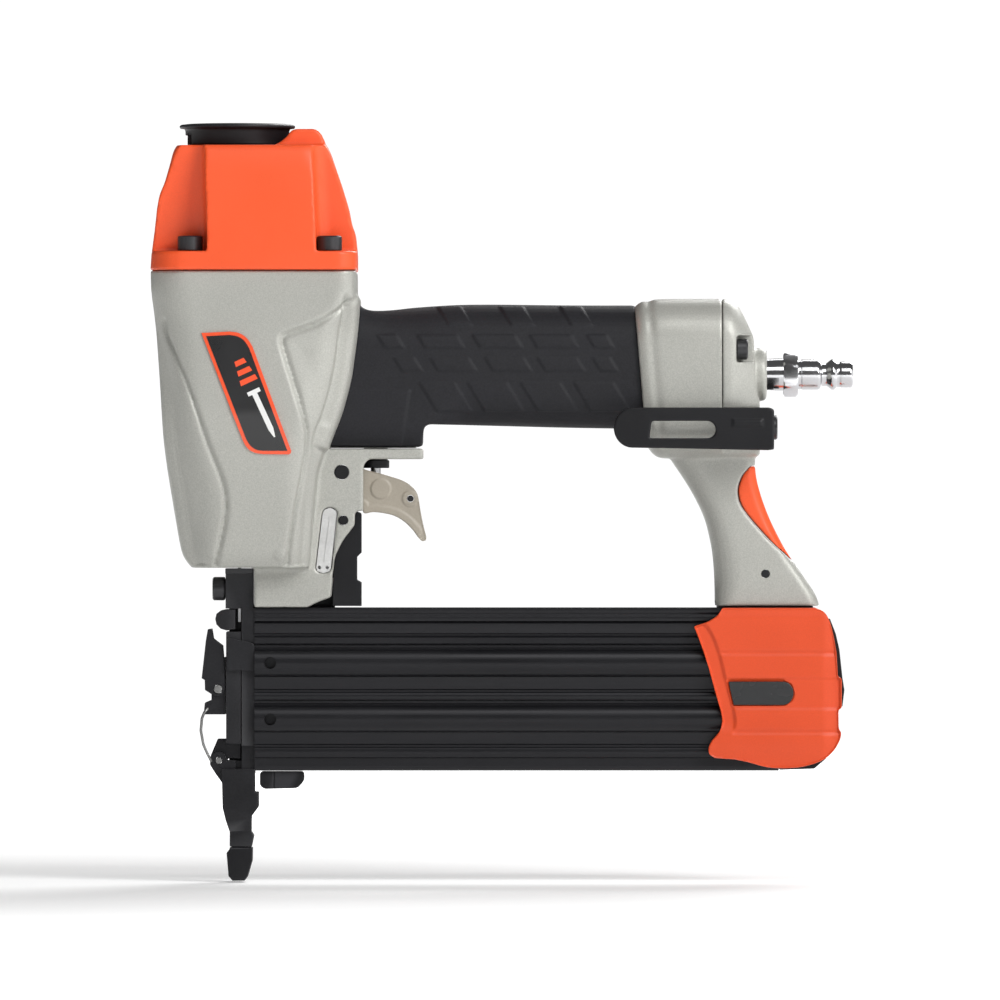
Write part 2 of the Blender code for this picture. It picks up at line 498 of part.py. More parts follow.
finish(lk, "contact_link", "blacksteel")

FOOT = [(-100.9, 40.3), (-100.6, 26.5), (-99.5, 21.7), (-98.1, 17.6), (-98.1, 12.3), (-90.1, 12.3), (-89.3, 16.2), (-90.2, 17.6), (-90.2, 23.1), (-87.7, 26.5), (-87.7, 31.9),
        (-89.1, 31.9), (-89.1, 40.3)]
ft = prism_y("ft", FOOT, -9.0, 9.0)
for s in (-1.0, 1.0):
    cut(ft, loft("ff", [[(-110.0, s * 6.4, 10.0), (-110.0, s * 12.0, 10.0), (-80.0, s * 12.0, 10.0), (-80.0, s * 6.4, 10.0)],
                        [(-110.0, s * 6.4, 18.0), (-110.0, s * 12.0, 18.0), (-80.0, s * 12.0, 18.0), (-80.0, s * 6.4, 18.0)],
                        [(-110.0, s * 9.2, 25.0), (-110.0, s * 12.0, 25.0), (-80.0, s * 12.0, 25.0), (-80.0, s * 9.2, 25.0)]]))
cut(ft, box("fc", -97.2, -91.8, -4.4, 4.4, 5.0, 50.0))
cut(ft, box("fd", -110.0, -80.0, -7.2, 7.2, 22.4, 50.0))
join(ft, box("fe", -98.4, -91.8, 8.5, 10.9, 27.2, 39.5))
finish(ft, "contact_foot", "blacksteel")
TIP = [(-98.1, 12.0), (-98.1, 11.4), (-99.2, 10.0), (-98.5, 1.7), (-97.1, 0.0), (-92.7, 0.0), (-91.6, 1.4), (-89.9, 7.2), (-89.8, 12.0)]
tp = prism_y("tp", TIP, -6.4, 6.4)
cut(tp, box("tc", -97.2, -91.8, -4.4, 4.4, 5.4, 14.0))
cut(tp, box("td", DX - 1.2, DX + 1.2, -2.4, 2.4, -2.0, 8.0))
finish(tp, "no_mar_tip", "black")

# ---------------------------------------------------------------- fixed nose
nh = box("nh", -99.5, -89.6, -9.0, 9.0, 97.9, 111.0)
join(nh, box("nh2", -93.7, -88.9, -9.0, 9.0, 48.6, 98.1))
join(nh, box("nh3", -93.7, -88.9, -6.9, 6.9, 38.5, 49.0))
join(nh, box("nh4", -96.6, -92.2, -4.0, 4.0, 14.0, 43.2))
join(nh, prism_y("ear", [(-96.0, 31.0), (-99.6, 33.5), (-103.2, 38.6), (-105.1, 41.6), (-105.2, 43.9), (-104.0, 45.8), (-102.0, 46.5), (-99.9, 45.6), (-98.9, 43.2), (-96.0, 43.2)], -6.8, 6.8))
cut(nh, prism_y("es", [(-97.2, 38.2), (-110.0, 38.2), (-110.0, 50.0), (-97.2, 50.0)], -4.0, 4.0))
cut(nh, cyl_y("eh", -102.0, 43.2, 1.3, -9.0, 9.0, 14))
cut(nh, box("ns", DX - 0.9, DX + 0.9, -1.9, 1.9, 12.0, 46.0))
cut(nh, box("ns2", DX - 0.9, DX + 0.9, -1.9, 1.9, 96.0, 113.0))
cut(nh, box("ns3", -95.5, -86.0, -1.1, 1.1, 40.0, 92.0))
cut(nh, box("ns4", -95.6, -92.9, -1.9, 1.9, 43.2, 99.0))
finish(nh, "nose_guide", "blacksteel")
for i, sy in enumerate((-5.4, 5.4)):
    b = turned("b", [(0.9, -104.2), (3.5, -104.2), (4.2, -103.6), (4.2, -99.8), (0.9, -99.8)], "x", (sy, 105.0), 14)
    finish(b, "nose_bolt_%d" % (i + 1), "blacksteel", (-99.8, sy, 105.0))
ca = prism_y("ca", [(-95.9, 90.4), (-99.1, 90.0), (-101.2, 90.6), (-102.8, 92.2), (-103.2, 94.1), (-102.8, 96.0), (-101.2, 97.2), (-99.4, 97.6), (-95.9, 97.6)], -8.6, 8.6)
finish(ca, "latch_catch", "blacksteel")
for side, s in (("left", -1.0), ("right", 1.0)):
    y0, y1 = sorted((s * 9.3, s * 10.9))
    finish(prism_y("yk", [(-98.9, 87.5), (-90.4, 85.7), (-89.1, 84.7), (-89.1, 75.7), (-98.9, 75.7)], y0, y1), "guide_side_plate_" + side, "blacksteel")

# front door with its latch
dr = box("dr", -99.3, -94.0, -9.0, 9.0, 49.2, 89.6)
join(dr, box("dr2", -99.3, -94.0, -3.7, 3.7, 43.9, 50.0))
join(dr, prism_y("kn", [(-104.6, 42.2), (-103.4, 40.9), (-102.0, 40.4), (-100.4, 40.9), (-99.4, 42.0), (-98.6, 44.2), (-98.6, 51.0), (-102.4, 51.0), (-104.8, 45.4), (-105.2, 43.8)], -3.7, 3.7))
cut(dr, cyl_y("dh", -102.0, 43.2, 1.3, -9.0, 9.0, 14))
cut(dr, box("dg", -95.5, -92.0, -3.0, 3.0, 40.0, 95.0))
finish(dr, "nose_door", "blacksteel", (-102.0, 0, 43.2))
finish(cyl_y("dp", -102.0, 43.2, 1.15, -7.0, 7.0, 14), "door_pin", "steel")
LB = [(-99.6, 59.8), (-107.4, 59.8), (-107.0, 64.0), (-104.6, 65.0), (-104.6, 78.5), (-99.6, 80.5)]
lb = prism_y("lb", LB, -6.7, 6.7)
cut(lb, box("lbi", -112.0, -101.0, -5.0, 5.0, 50.0, 90.0))
cut(lb, cyl_y("lbh", -102.2, 68.9, 1.65, -9.0, 9.0, 14))
finish(lb, "latch_bracket", "blacksteel")
LL = [(-99.8, 69.0), (-100.5, 67.1), (-102.2, 66.4), (-104.2, 66.9), (-106.9, 68.6), (-107.0, 72.2), (-108.1, 72.8), (-107.4, 79.1), (-106.6, 86.4), (-105.9, 90.4), (-104.5, 90.6),
      (-103.9, 87.0), (-100.6, 84.5), (-99.9, 76.0)]
ll = prism_y("ll", LL, -8.5, 8.5)
cut(ll, prism_y("lli", [(-112.0, 60.0), (-112.0, 74.4), (-106.4, 74.4), (-105.2, 86.0), (-104.0, 95.0), (-90.0, 95.0), (-90.0, 60.0)], -7.0, 7.0))
cut(ll, cyl_y("llh", -102.2, 68.9, 1.65, -10.0, 10.0, 14))
finish(ll, "latch_lever", "blacksteel", (-102.2, 0, 68.9))
finish(cyl_y("lr", -102.2, 68.9, 1.5, -9.0, 9.0, 14), "latch_pin", "steel")
wr = tube_xz("wr", [(-105.8, 62.2), (-107.2, 60.4), (-108.0, 58.4), (-108.4, 54.0), (-107.5, 49.0), (-105.9, 45.4), (-104.5, 42.8)], -7.6, 0.5, 6)
finish(wr, "latch_spring_wire", "steel", None, False)

# ---------------------------------------------------------------- magazine
rl = box("rl", -88.5, 112.0, -10.0, 10.0, 93.2, 98.2)
join(rl, box("rw", -88.5, 98.6, -2.1, 2.1, 50.0, 94.0))
cut(rl, box("rn", -90.0, 100.0, -0.8, 0.8, 48.0, 90.5))
finish(rl, "magazine_rail", "black")
MAGR = [(10.0, 92.9), (10.0, 89.2), (9.4, 88.5), (10.2, 87.6), (10.2, 85.2), (9.6, 84.2), (10.4, 83.6), (12.0, 82.6), (13.0, 80.2), (13.0, 76.2), (12.0, 73.8), (10.4, 72.9),
        (10.0, 69.0), (9.6, 68.3), (10.0, 67.6), (10.2, 65.4), (9.6, 64.4), (10.4, 63.4), (12.0, 62.6), (13.0, 60.4), (13.0, 56.2), (12.0, 54.0), (10.4, 53.1),
        (10.0, 49.2), (9.6, 48.4), (10.0, 47.6), (10.0, 44.6), (9.2, 43.6), (9.2, 41.0), (8.0, 39.6)]
mg = prism_x("mg", MAGR + [(-y, z) for y, z in reversed(MAGR)], -88.4, 99.0)
cut(mg, prism_x("mi", [(-7.6, 42.2), (7.6, 42.2), (7.6, 95.0), (-7.6, 95.0)], -92.0, 104.0))
for z in (78.4, 58.1):
    for s in (-1.0, 1.0):
        y0, y1 = sorted((s * 11.6, s * 15.0))
        cut(mg, cyl_y("mh", -83.4, z, 2.1, y0, y1, 14))
finish(mg, "magazine_cover", "black", (0.0, 0.0, 66.0))
finish(prism_y("lbk", [(-87.3, 38.9), (-72.6, 38.9), (-72.6, 34.3), (-74.7, 32.2), (-87.3, 32.2)], -8.0, 8.0), "magazine_front_block", "black")

TAIL = [(78.9, 98.2), (77.5, 95.6), (73.1, 93.0), (68.5, 91.5), (70.2, 87.9), (72.6, 81.1), (74.6, 74.4), (77.0, 65.7), (78.4, 60.9), (78.7, 57.0), (77.7, 53.6), (74.6, 49.8),
        (73.9, 47.4), (76.0, 44.2), (83.3, 43.8), (88.1, 42.8), (94.4, 41.1), (100.2, 40.6), (107.4, 41.1), (114.6, 43.3), (118.9, 46.9), (121.4, 51.3), (121.6, 53.6), (120.6, 55.1),
        (120.6, 61.8), (121.8, 62.1), (121.8, 72.9), (120.4, 73.7), (119.9, 82.1), (118.9, 87.9), (117.5, 93.7), (115.1, 97.1), (112.7, 98.2)]
tc = prism_y("tc", TAIL, -16.5, 16.5)
cut(tc, box("tci", 60.0, 116.6, -13.3, 13.3, 30.0, 110.0))
cut(tc, box("tcl", 100.0, 130.0, -6.6, 6.6, 58.0, 96.0))
WIN = [(81.1, 71.8), (100.7, 71.8), (103.4, 70.4), (104.5, 67.6), (103.4, 64.7), (100.7, 63.3), (83.0, 63.3)]
WINC = [(80.75, 72.1), (100.9, 72.1), (103.7, 70.6), (104.85, 67.6), (103.7, 64.5), (100.9, 63.0), (82.7, 63.0)]
for s in (-1.0, 1.0):
    y0, y1 = sorted((s * 15.4, s * 20.0))
    cut(tc, prism_y("tw", WINC, y0, y1))
finish(tc, "tail_cover", "orange")
for side, s in (("left", -1.0), ("right", 1.0)):
    y0, y1 = sorted((s * 15.5, s * 16.9))
    finish(prism_y("tw", WIN, y0, y1), "tail_window_" + side, "window")
tb = prism_y("tb", [(99.4, 40.0), (112.0, 40.4), (116.2, 44.0), (116.2, 92.0), (99.4, 92.0)], -13.0, 13.0)
cut(tb, box("tbl", 108.0, 130.0, -6.6, 6.6, 46.0, 100.0))
cut(tb, cyl_y("tbh", 113.0, 50.0, 1.3, -15.0, 15.0, 12))
finish(tb, "tail_block", "black")
RL = [(111.4, 48.6), (114.6, 48.6), (115.4, 52.0), (115.6, 60.0), (120.2, 60.4), (122.3, 62.8), (123.0, 68.6), (122.3, 72.9), (121.2, 83.1), (119.9, 88.8), (117.8, 94.2), (116.4, 94.0),
      (114.6, 88.0), (113.0, 70.0), (111.2, 54.0)]
re_ = prism_y("re", RL, -6.2, 6.2)
cut(re_, cyl_y("reh", 113.0, 50.6, 1.3, -8.0, 8.0, 12))
finish(re_, "release_lever", "black", (113.0, 0, 50.6))

pu = box("pu", -84.0, -66.0, -6.0, 6.0, 44.5, 88.0)
cut(pu, box("pu1", -90.0, -60.0, -2.5, 2.5, 49.4, 92.0))
cut(pu, box("pu2", -72.0, -60.0, -8.0, 8.0, 60.0, 80.0))
finish(pu, "pusher", "steel")
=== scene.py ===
import bpy
import bmesh
import math
import numpy as np
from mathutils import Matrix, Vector


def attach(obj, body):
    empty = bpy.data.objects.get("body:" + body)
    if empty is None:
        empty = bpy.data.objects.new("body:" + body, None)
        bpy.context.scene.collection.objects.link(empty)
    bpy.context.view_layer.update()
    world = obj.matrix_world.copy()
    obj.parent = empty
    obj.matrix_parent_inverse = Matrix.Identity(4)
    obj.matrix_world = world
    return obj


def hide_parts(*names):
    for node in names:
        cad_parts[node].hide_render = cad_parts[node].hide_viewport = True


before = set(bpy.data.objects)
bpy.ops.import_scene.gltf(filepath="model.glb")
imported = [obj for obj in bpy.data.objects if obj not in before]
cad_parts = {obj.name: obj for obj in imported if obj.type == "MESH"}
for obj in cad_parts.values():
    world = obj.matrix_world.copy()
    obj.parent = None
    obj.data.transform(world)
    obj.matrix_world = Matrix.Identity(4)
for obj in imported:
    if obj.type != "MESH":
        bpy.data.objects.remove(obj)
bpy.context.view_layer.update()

MM = 0.001
COLL = bpy.context.scene.collection


# ============================================================ camera first
cam_data = bpy.data.cameras.new("view")
cam_data.type = "PERSP"
cam_data.sensor_width = 36.0
DIST = 5.0
cam_data.lens = 36.0 * DIST / 0.360
cam_data.clip_start = 0.5
cam_data.clip_end = 60.0
cam = bpy.data.objects.new("view", cam_data)
COLL.objects.link(cam)
cam.location = (-0.00086, -DIST, 0.1369)
cam.rotation_euler = (math.radians(90.0), 0.0, 0.0)
bpy.context.scene.camera = cam


# ============================================================ mesh helpers (millimetres)
def new_object(name, verts, faces):
    me = bpy.data.meshes.new(name)
    v = np.asarray(verts, float) * MM
    me.from_pydata([tuple(p) for p in v], [], faces)
    bm = bmesh.new()
    bm.from_mesh(me)
    bmesh.ops.recalc_face_normals(bm, faces=bm.faces)
    bm.to_mesh(me)
    bm.free()
    o = bpy.data.objects.new(name, me)
    COLL.objects.link(o)
    return o


def loft(name, rings):
    n = len(rings[0])
    verts = [p for r in rings for p in r]
    faces = []
    for k in range(len(rings) - 1):
        a, b = k * n, (k + 1) * n
        for i in range(n):
            j = (i + 1) % n
            faces.append((a + i, a + j, b + j, b + i))
    faces.append(tuple(range(n))[::-1])
    faces.append(tuple((len(rings) - 1) * n + i for i in range(n)))
    return new_object(name, verts, faces)


def prism_y(name, pts, y0, y1):
    return loft(name, [[(x, y0, z) for x, z in pts], [(x, y1, z) for x, z in pts]])


def prism_x(name, pts, x0, x1):
    return loft(name, [[(x0, y, z) for y, z in pts], [(x1, y, z) for y, z in pts]])


def prism_z(name, pts, z0, z1):
    return loft(name, [[(x, y, z0) for x, y in pts], [(x, y, z1) for x, y in pts]])


def box(name, x0, x1, y0, y1, z0, z1):
    return prism_z(name, [(x0, y0), (x1, y0), (x1, y1), (x0, y1)], z0, z1)


def circle(a, b, r, n, start=0.0):
    return [(a + r * math.cos(start + 2 * math.pi * i / n), b + r * math.sin(start + 2 * math.pi * i / n)) for i in range(n)]


def cyl_x(name, cy, cz, r, x0, x1, n=48, start=0.0):
    return prism_x(name, circle(cy, cz, r, n, start), x0, x1)


def cyl_y(name, cx, cz, r, y0, y1, n=48):
    return prism_y(name, circle(cx, cz, r, n), y0, y1)


def cyl_z(name, cx, cy, r, z0, z1, n=48):
    return prism_z(name, circle(cx, cy, r, n), z0, z1)


def rrect4(a0, a1, b0, b1, r_lo, r_hi, n=8):
    """Rounded rectangle in (a, b): r_lo on the a0 side, r_hi on the a1 side."""
    lim = (b1 - b0) / 2 - 0.02
    r_lo, r_hi = min(r_lo, lim), min(r_hi, lim)
    out = []
    for ca, cb, r, s in ((a1 - r_hi, b1 - r_hi, r_hi, 0), (a0 + r_lo, b1 - r_lo, r_lo, 90), (a0 + r_lo, b0 + r_lo, r_lo, 180), (a1 - r_hi, b0 + r_hi, r_hi, 270)):
        for k in range(n + 1):
            t = math.radians(s + 90.0 * k / n)
            out.append((ca + r * math.cos(t), cb + r * math.sin(t)))
    return out


def dense(stations, step=1.0, win=5):
    """Stations resampled at a small step and eased, so that a loft has no kinks."""
    st = np.asarray(sorted(stations), float)
    n = max(2, int(round((st[-1, 0] - st[0, 0]) / step)))
    t = np.linspace(st[0, 0], st[-1, 0], n + 1)
    cols = [t]
    for c in range(1, st.shape[1]):
        v = np.interp(t, st[:, 0], st[:, c])
        if win > 1:
            ker = np.ones(win) / win
            for _ in range(2):
                pad = np.concatenate([2 * v[0] - v[1:win][::-1], v, 2 * v[-1] - v[-win:-1][::-1]])
                v = np.convolve(pad, ker, mode="same")[win - 1:-(win - 1)]
        cols.append(v)
    return np.array(cols).T


def loft_z(name, stations, n=8, step=1.0, win=5):
    rows = dense([s if len(s) == 6 else (s[0], s[1], s[2], s[3], s[4], s[4]) for s in stations], step, win)
    return loft(name, [[(a, b, z) for a, b in rrect4(x0, x1, -h, h, rf, rr, n)] for z, x0, x1, h, rf, rr in rows])


def loft_x(name, stations, n=8, step=1.0, win=5, shear=0.0, zref=206.0):
    rows = dense([s if len(s) == 6 else (s[0], s[1], s[2], s[3], s[4], s[4]) for s in stations], step, win)
    return loft(name, [[(x + shear * (zref - a), b, a) for a, b in rrect4(z0, z1, -h, h, rl, rh, n)] for x, z0, z1, h, rl, rh in rows])


def turned(name, profile, axis, c, n=64):
    """Closed (radius, height) profile turned about an axis."""
    verts, faces = [], []
    m = len(profile)
    for i in range(n):
        t = 2 * math.pi * i / n
        for r, h in profile:
            u, v = r * math.cos(t), r * math.sin(t)
            if axis == "z":
                verts.append((c[0] + u, c[1] + v, h))
            elif axis == "x":
                verts.append((h, c[0] + u, c[1] + v))
            else:
                verts.append((c[0] + u, h, c[1] + v))
    for i in range(n):
        j = (i + 1) % n
        for k in range(m):
            q = (k + 1) % m
            faces.append((i * m + k, j * m + k, j * m + q, i * m + q))
    return new_object(name, verts, faces)


def rounded(profile, r=0.3, n=3):
    """Rounds the corners of a closed 2-D profile by r."""
    out = []
    m = len(profile)
    for i in range(m):
        p0, p, p1 = (np.array(profile[(i + k) % m], float) for k in (-1, 0, 1))
        a, b = p0 - p, p1 - p
        la, lb = np.linalg.norm(a), np.linalg.norm(b)
        if la < 1e-6 or lb < 1e-6:
            out.append(tuple(p))
            continue
        d = min(r, la * 0.45, lb * 0.45)
        s, e = p + a / la * d, p + b / lb * d
        for k in range(n + 1):
            t = k / n
            q = (1 - t) ** 2 * s + 2 * t * (1 - t) * p + t * t * e
            out.append(tuple(q))
    return out


def evaluated(obj):
    bpy.context.view_layer.update()
    dg = bpy.context.evaluated_depsgraph_get()
    me = bpy.data.meshes.new_from_object(obj.evaluated_get(dg))
    obj.modifiers.clear()
    obj.data = me
    return obj


def boolean(obj, tool, op):
    md = obj.modifiers.new("b", "BOOLEAN")
    md.operation = op
    md.solver = "EXACT"
    md.object = tool
    evaluated(obj)
    bpy.data.objects.remove(tool, do_unlink=True)
    return obj


def cut(obj, *tools):
    for t in tools:
        boolean(obj, t, "DIFFERENCE")
    return obj


def join(obj, *tools):
    for t in tools:
        boolean(obj, t, "UNION")
    return obj


def common(obj, tool):
    return boolean(obj, tool, "INTERSECT")


def remesh(obj, voxel):
    md = obj.modifiers.new("r", "REMESH")
    md.mode = "VOXEL"
    md.voxel_size = voxel * MM
    md.adaptivity = 0.0
    return evaluated(obj)


def co_of(obj):
    c = np.empty(len(obj.data.vertices) * 3, np.float32)
    obj.data.vertices.foreach_get("co", c)
    return c.reshape(-1, 3).astype(float) / MM


def set_co(obj, c):
    obj.data.vertices.foreach_set("co", (c * MM).astype(np.float32).ravel())
    obj.data.update()


def normals_of(obj):
    n = np.empty(len(obj.data.vertices) * 3, np.float32)
    obj.data.vertices.foreach_get("normal", n)
    return n.reshape(-1, 3).astype(float)


def relax(obj, rounds, keep=None):
    """Taubin smoothing: rounds edges without shrinking the body."""
    me = obj.data
    e = np.empty(len(me.edges) * 2, np.int64)
    me.edges.foreach_get("vertices", e)
    e = e.reshape(-1, 2)
    c = co_of(obj)
    n = len(c)
    deg = np.bincount(e.ravel(), minlength=n).clip(1)
    for k in range(rounds):
        for f in (0.55, -0.50):
            s = np.empty_like(c)
            for q in range(3):
                s[:, q] = np.bincount(e[:, 0], weights=c[e[:, 1], q], minlength=n) + np.bincount(e[:, 1], weights=c[e[:, 0], q], minlength=n)
            d = s / deg[:, None] - c
            if keep is not None:
                d *= keep[:, None]
            c = c + f * d
    set_co(obj, c)
    return obj


def decimate(obj, faces):
    me = obj.data
    me.calc_loop_triangles()
    now = len(me.loop_triangles)
    if now > faces:
        md = obj.modifiers.new("d", "DECIMATE")
        md.ratio = faces / now
        evaluated(obj)
    return obj


def smoothstep(t):
    t = np.clip(t, 0.0, 1.0)
    return t * t * (3 - 2 * t)


def dist_line(px, pz, line):
    """Distance in the XZ plane from points to a polyline."""
    best = np.full(len(px), 1e9)
    for (x0, z0), (x1, z1) in zip(line, line[1:]):
        dx, dz = x1 - x0, z1 - z0
        l2 = dx * dx + dz * dz
        t = np.clip(((px - x0) * dx + (pz - z0) * dz) / l2, 0, 1)
        best = np.minimum(best, np.hypot(px - x0 - t * dx, pz - z0 - t * dz))
    return best


def inside(px, pz, poly):
    hit = np.zeros(len(px), bool)
    for (x0, z0), (x1, z1) in zip(poly, poly[1:] + poly[:1]):
        c = (z0 > pz) != (z1 > pz)
        with np.errstate(divide="ignore", invalid="ignore"):
            xi = x0 + (pz - z0) * (x1 - x0) / (z1 - z0 if z1 != z0 else 1e-9)
        hit ^= c & (px < xi)
    return hit


def spline(pts, n=8):
    """Catmull-Rom through 2-D points."""
    p = [np.array(q, float) for q in pts]
    p = [2 * p[0] - p[1]] + p + [2 * p[-1] - p[-2]]
    out = []
    for i in range(1, len(p) - 2):
        for k in range(n):
            t = k / n
            a = 0.5 * ((2 * p[i]) + (-p[i - 1] + p[i + 1]) * t + (2 * p[i - 1] - 5 * p[i] + 4 * p[i + 1] - p[i + 2]) * t * t + (-p[i - 1] + 3 * p[i] - 3 * p[i + 1] + p[i + 2]) * t ** 3)
            out.append((float(a[0]), float(a[1])))
    out.append((float(p[-2][0]), float(p[-2][1])))
    return out


def smooth_shade(obj, angle=None):
    me = obj.data
    me.shade_smooth()
    if angle is not None:
        me.set_sharp_from_angle(angle=math.radians(angle))
    return obj


def bevel(obj, width, segments=2, angle=30.0, weld=True):
    if weld:
        w = obj.modifiers.new("weld", "WELD")
        w.merge_threshold = 0.00001
    b = obj.modifiers.new("bevel", "BEVEL")
    b.width = width * MM
    b.segments = segments
    b.limit_method = "ANGLE"
    b.angle_limit = math.radians(angle)
    b.harden_normals = False
    b.use_clamp_overlap = True
    return obj


# ============================================================ materials
def base_material(name, rgb, rough, metal=0.0):
    m = bpy.data.materials.new(name)
    m.use_nodes = True
    nt = m.node_tree
    b = nt.nodes["Principled BSDF"]
    b.inputs["Base Color"].default_value = (*rgb, 1.0)
    b.inputs["Roughness"].default_value = rough
    b.inputs["Metallic"].default_value = metal
    return m, nt, b


def node(nt, kind, **vals):
    n = nt.nodes.new(kind)
    for k, v in vals.items():
        if k.startswith("in_"):
            n.inputs[k[3:].replace("_", " ")].default_value = v
        else:
            setattr(n, k, v)
    return n


def ramp(nt, src, stops):
    r = nt.nodes.new("ShaderNodeValToRGB")
    el = r.color_ramp.elements
    while len(el) < len(stops):
        el.new(0.5)
    for e, (p, c) in zip(el, stops):
        e.position = p
        e.color = (*c, 1.0) if len(c) == 3 else c
    nt.links.new(src, r.inputs["Fac"])
    return r.outputs["Color"]


def detail(name, rgb, rough, metal=0.0, fine=1500.0, fine_bump=0.15, bump_mm=0.05, broad=35.0, tint=0.10, fine_tint=0.06, rough_var=0.08,
           coat=0.0, coat_rough=0.2, wear=None, stretch=None, spec=None):
    """A surface with broad tone drift, a fine grain in tone and relief, uneven roughness and optional worn edges."""
    m, nt, b = base_material(name, rgb, rough, metal)
    tc = nt.nodes.new("ShaderNodeTexCoord")
    vec = tc.outputs["Object"]
    if stretch is not None:
        mp = nt.nodes.new("ShaderNodeMapping")
        mp.inputs["Scale"].default_value = stretch
        nt.links.new(vec, mp.inputs["Vector"])
        fvec = mp.outputs["Vector"]
    else:
        fvec = vec
    nb = node(nt, "ShaderNodeTexNoise", in_Scale=broad, in_Detail=3.0, in_Roughness=0.55)
    nt.links.new(vec, nb.inputs["Vector"])
    nf = node(nt, "ShaderNodeTexNoise", in_Scale=fine, in_Detail=2.0, in_Roughness=0.6)
    nt.links.new(fvec, nf.inputs["Vector"])
    dark = tuple(c * (1 - tint) for c in rgb)
    light = tuple(min(1.0, c * (1 + tint)) for c in rgb)
    c1 = ramp(nt, nb.outputs["Fac"], [(0.3, dark), (0.7, light)])
    mix = nt.nodes.new("ShaderNodeMix")
    mix.data_type = "RGBA"
    mix.blend_type = "MULTIPLY"
    mix.inputs["Factor"].default_value = 1.0
    g = ramp(nt, nf.outputs["Fac"], [(0.3, (1 - fine_tint,) * 3), (0.7, (1 + fine_tint * 0.6,) * 3)])
    nt.links.new(c1, mix.inputs["A"])
    nt.links.new(g, mix.inputs["B"])
    col = mix.outputs["Result"]
    if wear is not None:
        geo = nt.nodes.new("ShaderNodeNewGeometry")
        wr = ramp(nt, geo.outputs["Pointiness"], [(0.53, (0, 0, 0)), (0.60, (wear[1],) * 3)])
        w = nt.nodes.new("ShaderNodeMix")
        w.data_type = "RGBA"
        nt.links.new(wr, w.inputs["Factor"])
        nt.links.new(col, w.inputs["A"])
        w.inputs["B"].default_value = (*wear[0], 1.0)
        col = w.outputs["Result"]
    nt.links.new(col, b.inputs["Base Color"])
    mr = nt.nodes.new("ShaderNodeMapRange")
    mr.inputs["From Min"].default_value = 0.3
    mr.inputs["From Max"].default_value = 0.7
    mr.inputs["To Min"].default_value = max(0.03, rough - rough_var)
    mr.inputs["To Max"].default_value = min(1.0, rough + rough_var)
    nt.links.new(nb.outputs["Fac"], mr.inputs["Value"])
    nt.links.new(mr.outputs["Result"], b.inputs["Roughness"])
    bp = nt.nodes.new("ShaderNodeBump")
    bp.inputs["Strength"].default_value = fine_bump
    bp.inputs["Distance"].default_value = bump_mm * MM
    nt.links.new(nf.outputs["Fac"], bp.inputs["Height"])
    nt.links.new(bp.outputs["Normal"], b.inputs["Normal"])
    if coat:
        b.inputs["Coat Weight"].default_value = coat
        b.inputs["Coat Roughness"].default_value = coat_rough
    if spec is not None:
        b.inputs["Specular IOR Level"].default_value = spec
    return m


M_CAST = detail("cast_paint", (0.430, 0.430, 0.395), 0.44, 0.25, fine=2300.0, fine_bump=0.30, bump_mm=0.06, broad=22.0, tint=0.03, fine_tint=0.16, rough_var=0.05)
M_ORANGE = detail("orange_moulding", (0.860, 0.098, 0.024), 0.42, 0.0, fine=2300.0, fine_bump=0.22, bump_mm=0.05, broad=26.0, tint=0.03, fine_tint=0.05, rough_var=0.05, spec=0.40)
# darker copy of the orange moulding for the tail cover: painted shade, standing in for the light falling off low on
# the tool
M_ORANGE_PAINTED_SHADE = detail("orange_moulding_painted_shade", (0.700, 0.074, 0.018), 0.44, 0.0, fine=2300.0, fine_bump=0.22, bump_mm=0.05, broad=26.0, tint=0.04, fine_tint=0.05, rough_var=0.05, spec=0.36)
M_RUBBER = detail("grip_rubber", (0.0150, 0.0150, 0.0180), 0.66, 0.0, fine=1500.0, fine_bump=0.45, bump_mm=0.10, broad=40.0, tint=0.12, fine_tint=0.20, rough_var=0.06, spec=0.28)
M_BLACK = detail("black_plastic", (0.0085, 0.0085, 0.0100), 0.45, 0.0, fine=1700.0, fine_bump=0.22, bump_mm=0.05, broad=45.0, tint=0.10, fine_tint=0.12, rough_var=0.07, wear=((0.045, 0.045, 0.05), 0.6), spec=0.26)
M_STEEL_BLACK = detail("black_oxide", (0.0190, 0.0190, 0.0215), 0.36, 0.55, fine=1300.0, fine_bump=0.25, bump_mm=0.05, broad=70.0, tint=0.18, fine_tint=0.15, rough_var=0.09, wear=((0.12, 0.12, 0.125), 0.55))
M_ANODISED = detail("black_anodised", (0.0135, 0.0135, 0.0160), 0.34, 0.45, fine=900.0, fine_bump=0.18, bump_mm=0.03, broad=18.0, tint=0.10, fine_tint=0.12, rough_var=0.05, stretch=(0.03, 1.0, 1.0))
M_CHROME = detail("chrome", (0.60, 0.60, 0.615), 0.16, 1.0, fine=700.0, fine_bump=0.03, bump_mm=0.02, broad=60.0, tint=0.03, fine_tint=0.02, rough_var=0.05)
M_STEEL = detail("bright_steel", (0.60, 0.60, 0.605), 0.27, 1.0, fine=900.0, fine_bump=0.15, bump_mm=0.03, broad=60.0, tint=0.06, fine_tint=0.08, rough_var=0.08, stretch=(1.0, 1.0, 0.05))
M_STRIP = detail("wear_strip", (0.66, 0.66, 0.65), 0.36, 0.35, fine=900.0, fine_bump=0.25, bump_mm=0.05, broad=120.0, tint=0.10, fine_tint=0.08, rough_var=0.08)
M_PIN = detail("dull_pin", (0.26, 0.26, 0.255), 0.38, 0.85, fine=1100.0, fine_bump=0.2, bump_mm=0.04, broad=70.0, tint=0.12, fine_tint=0.10, rough_var=0.08)
M_TRIGGER = detail("trigger_plastic", (0.335, 0.300, 0.245), 0.45, 0.0, fine=1500.0, fine_bump=0.22, bump_mm=0.05, broad=50.0, tint=0.06, fine_tint=0.06, rough_var=0.06)
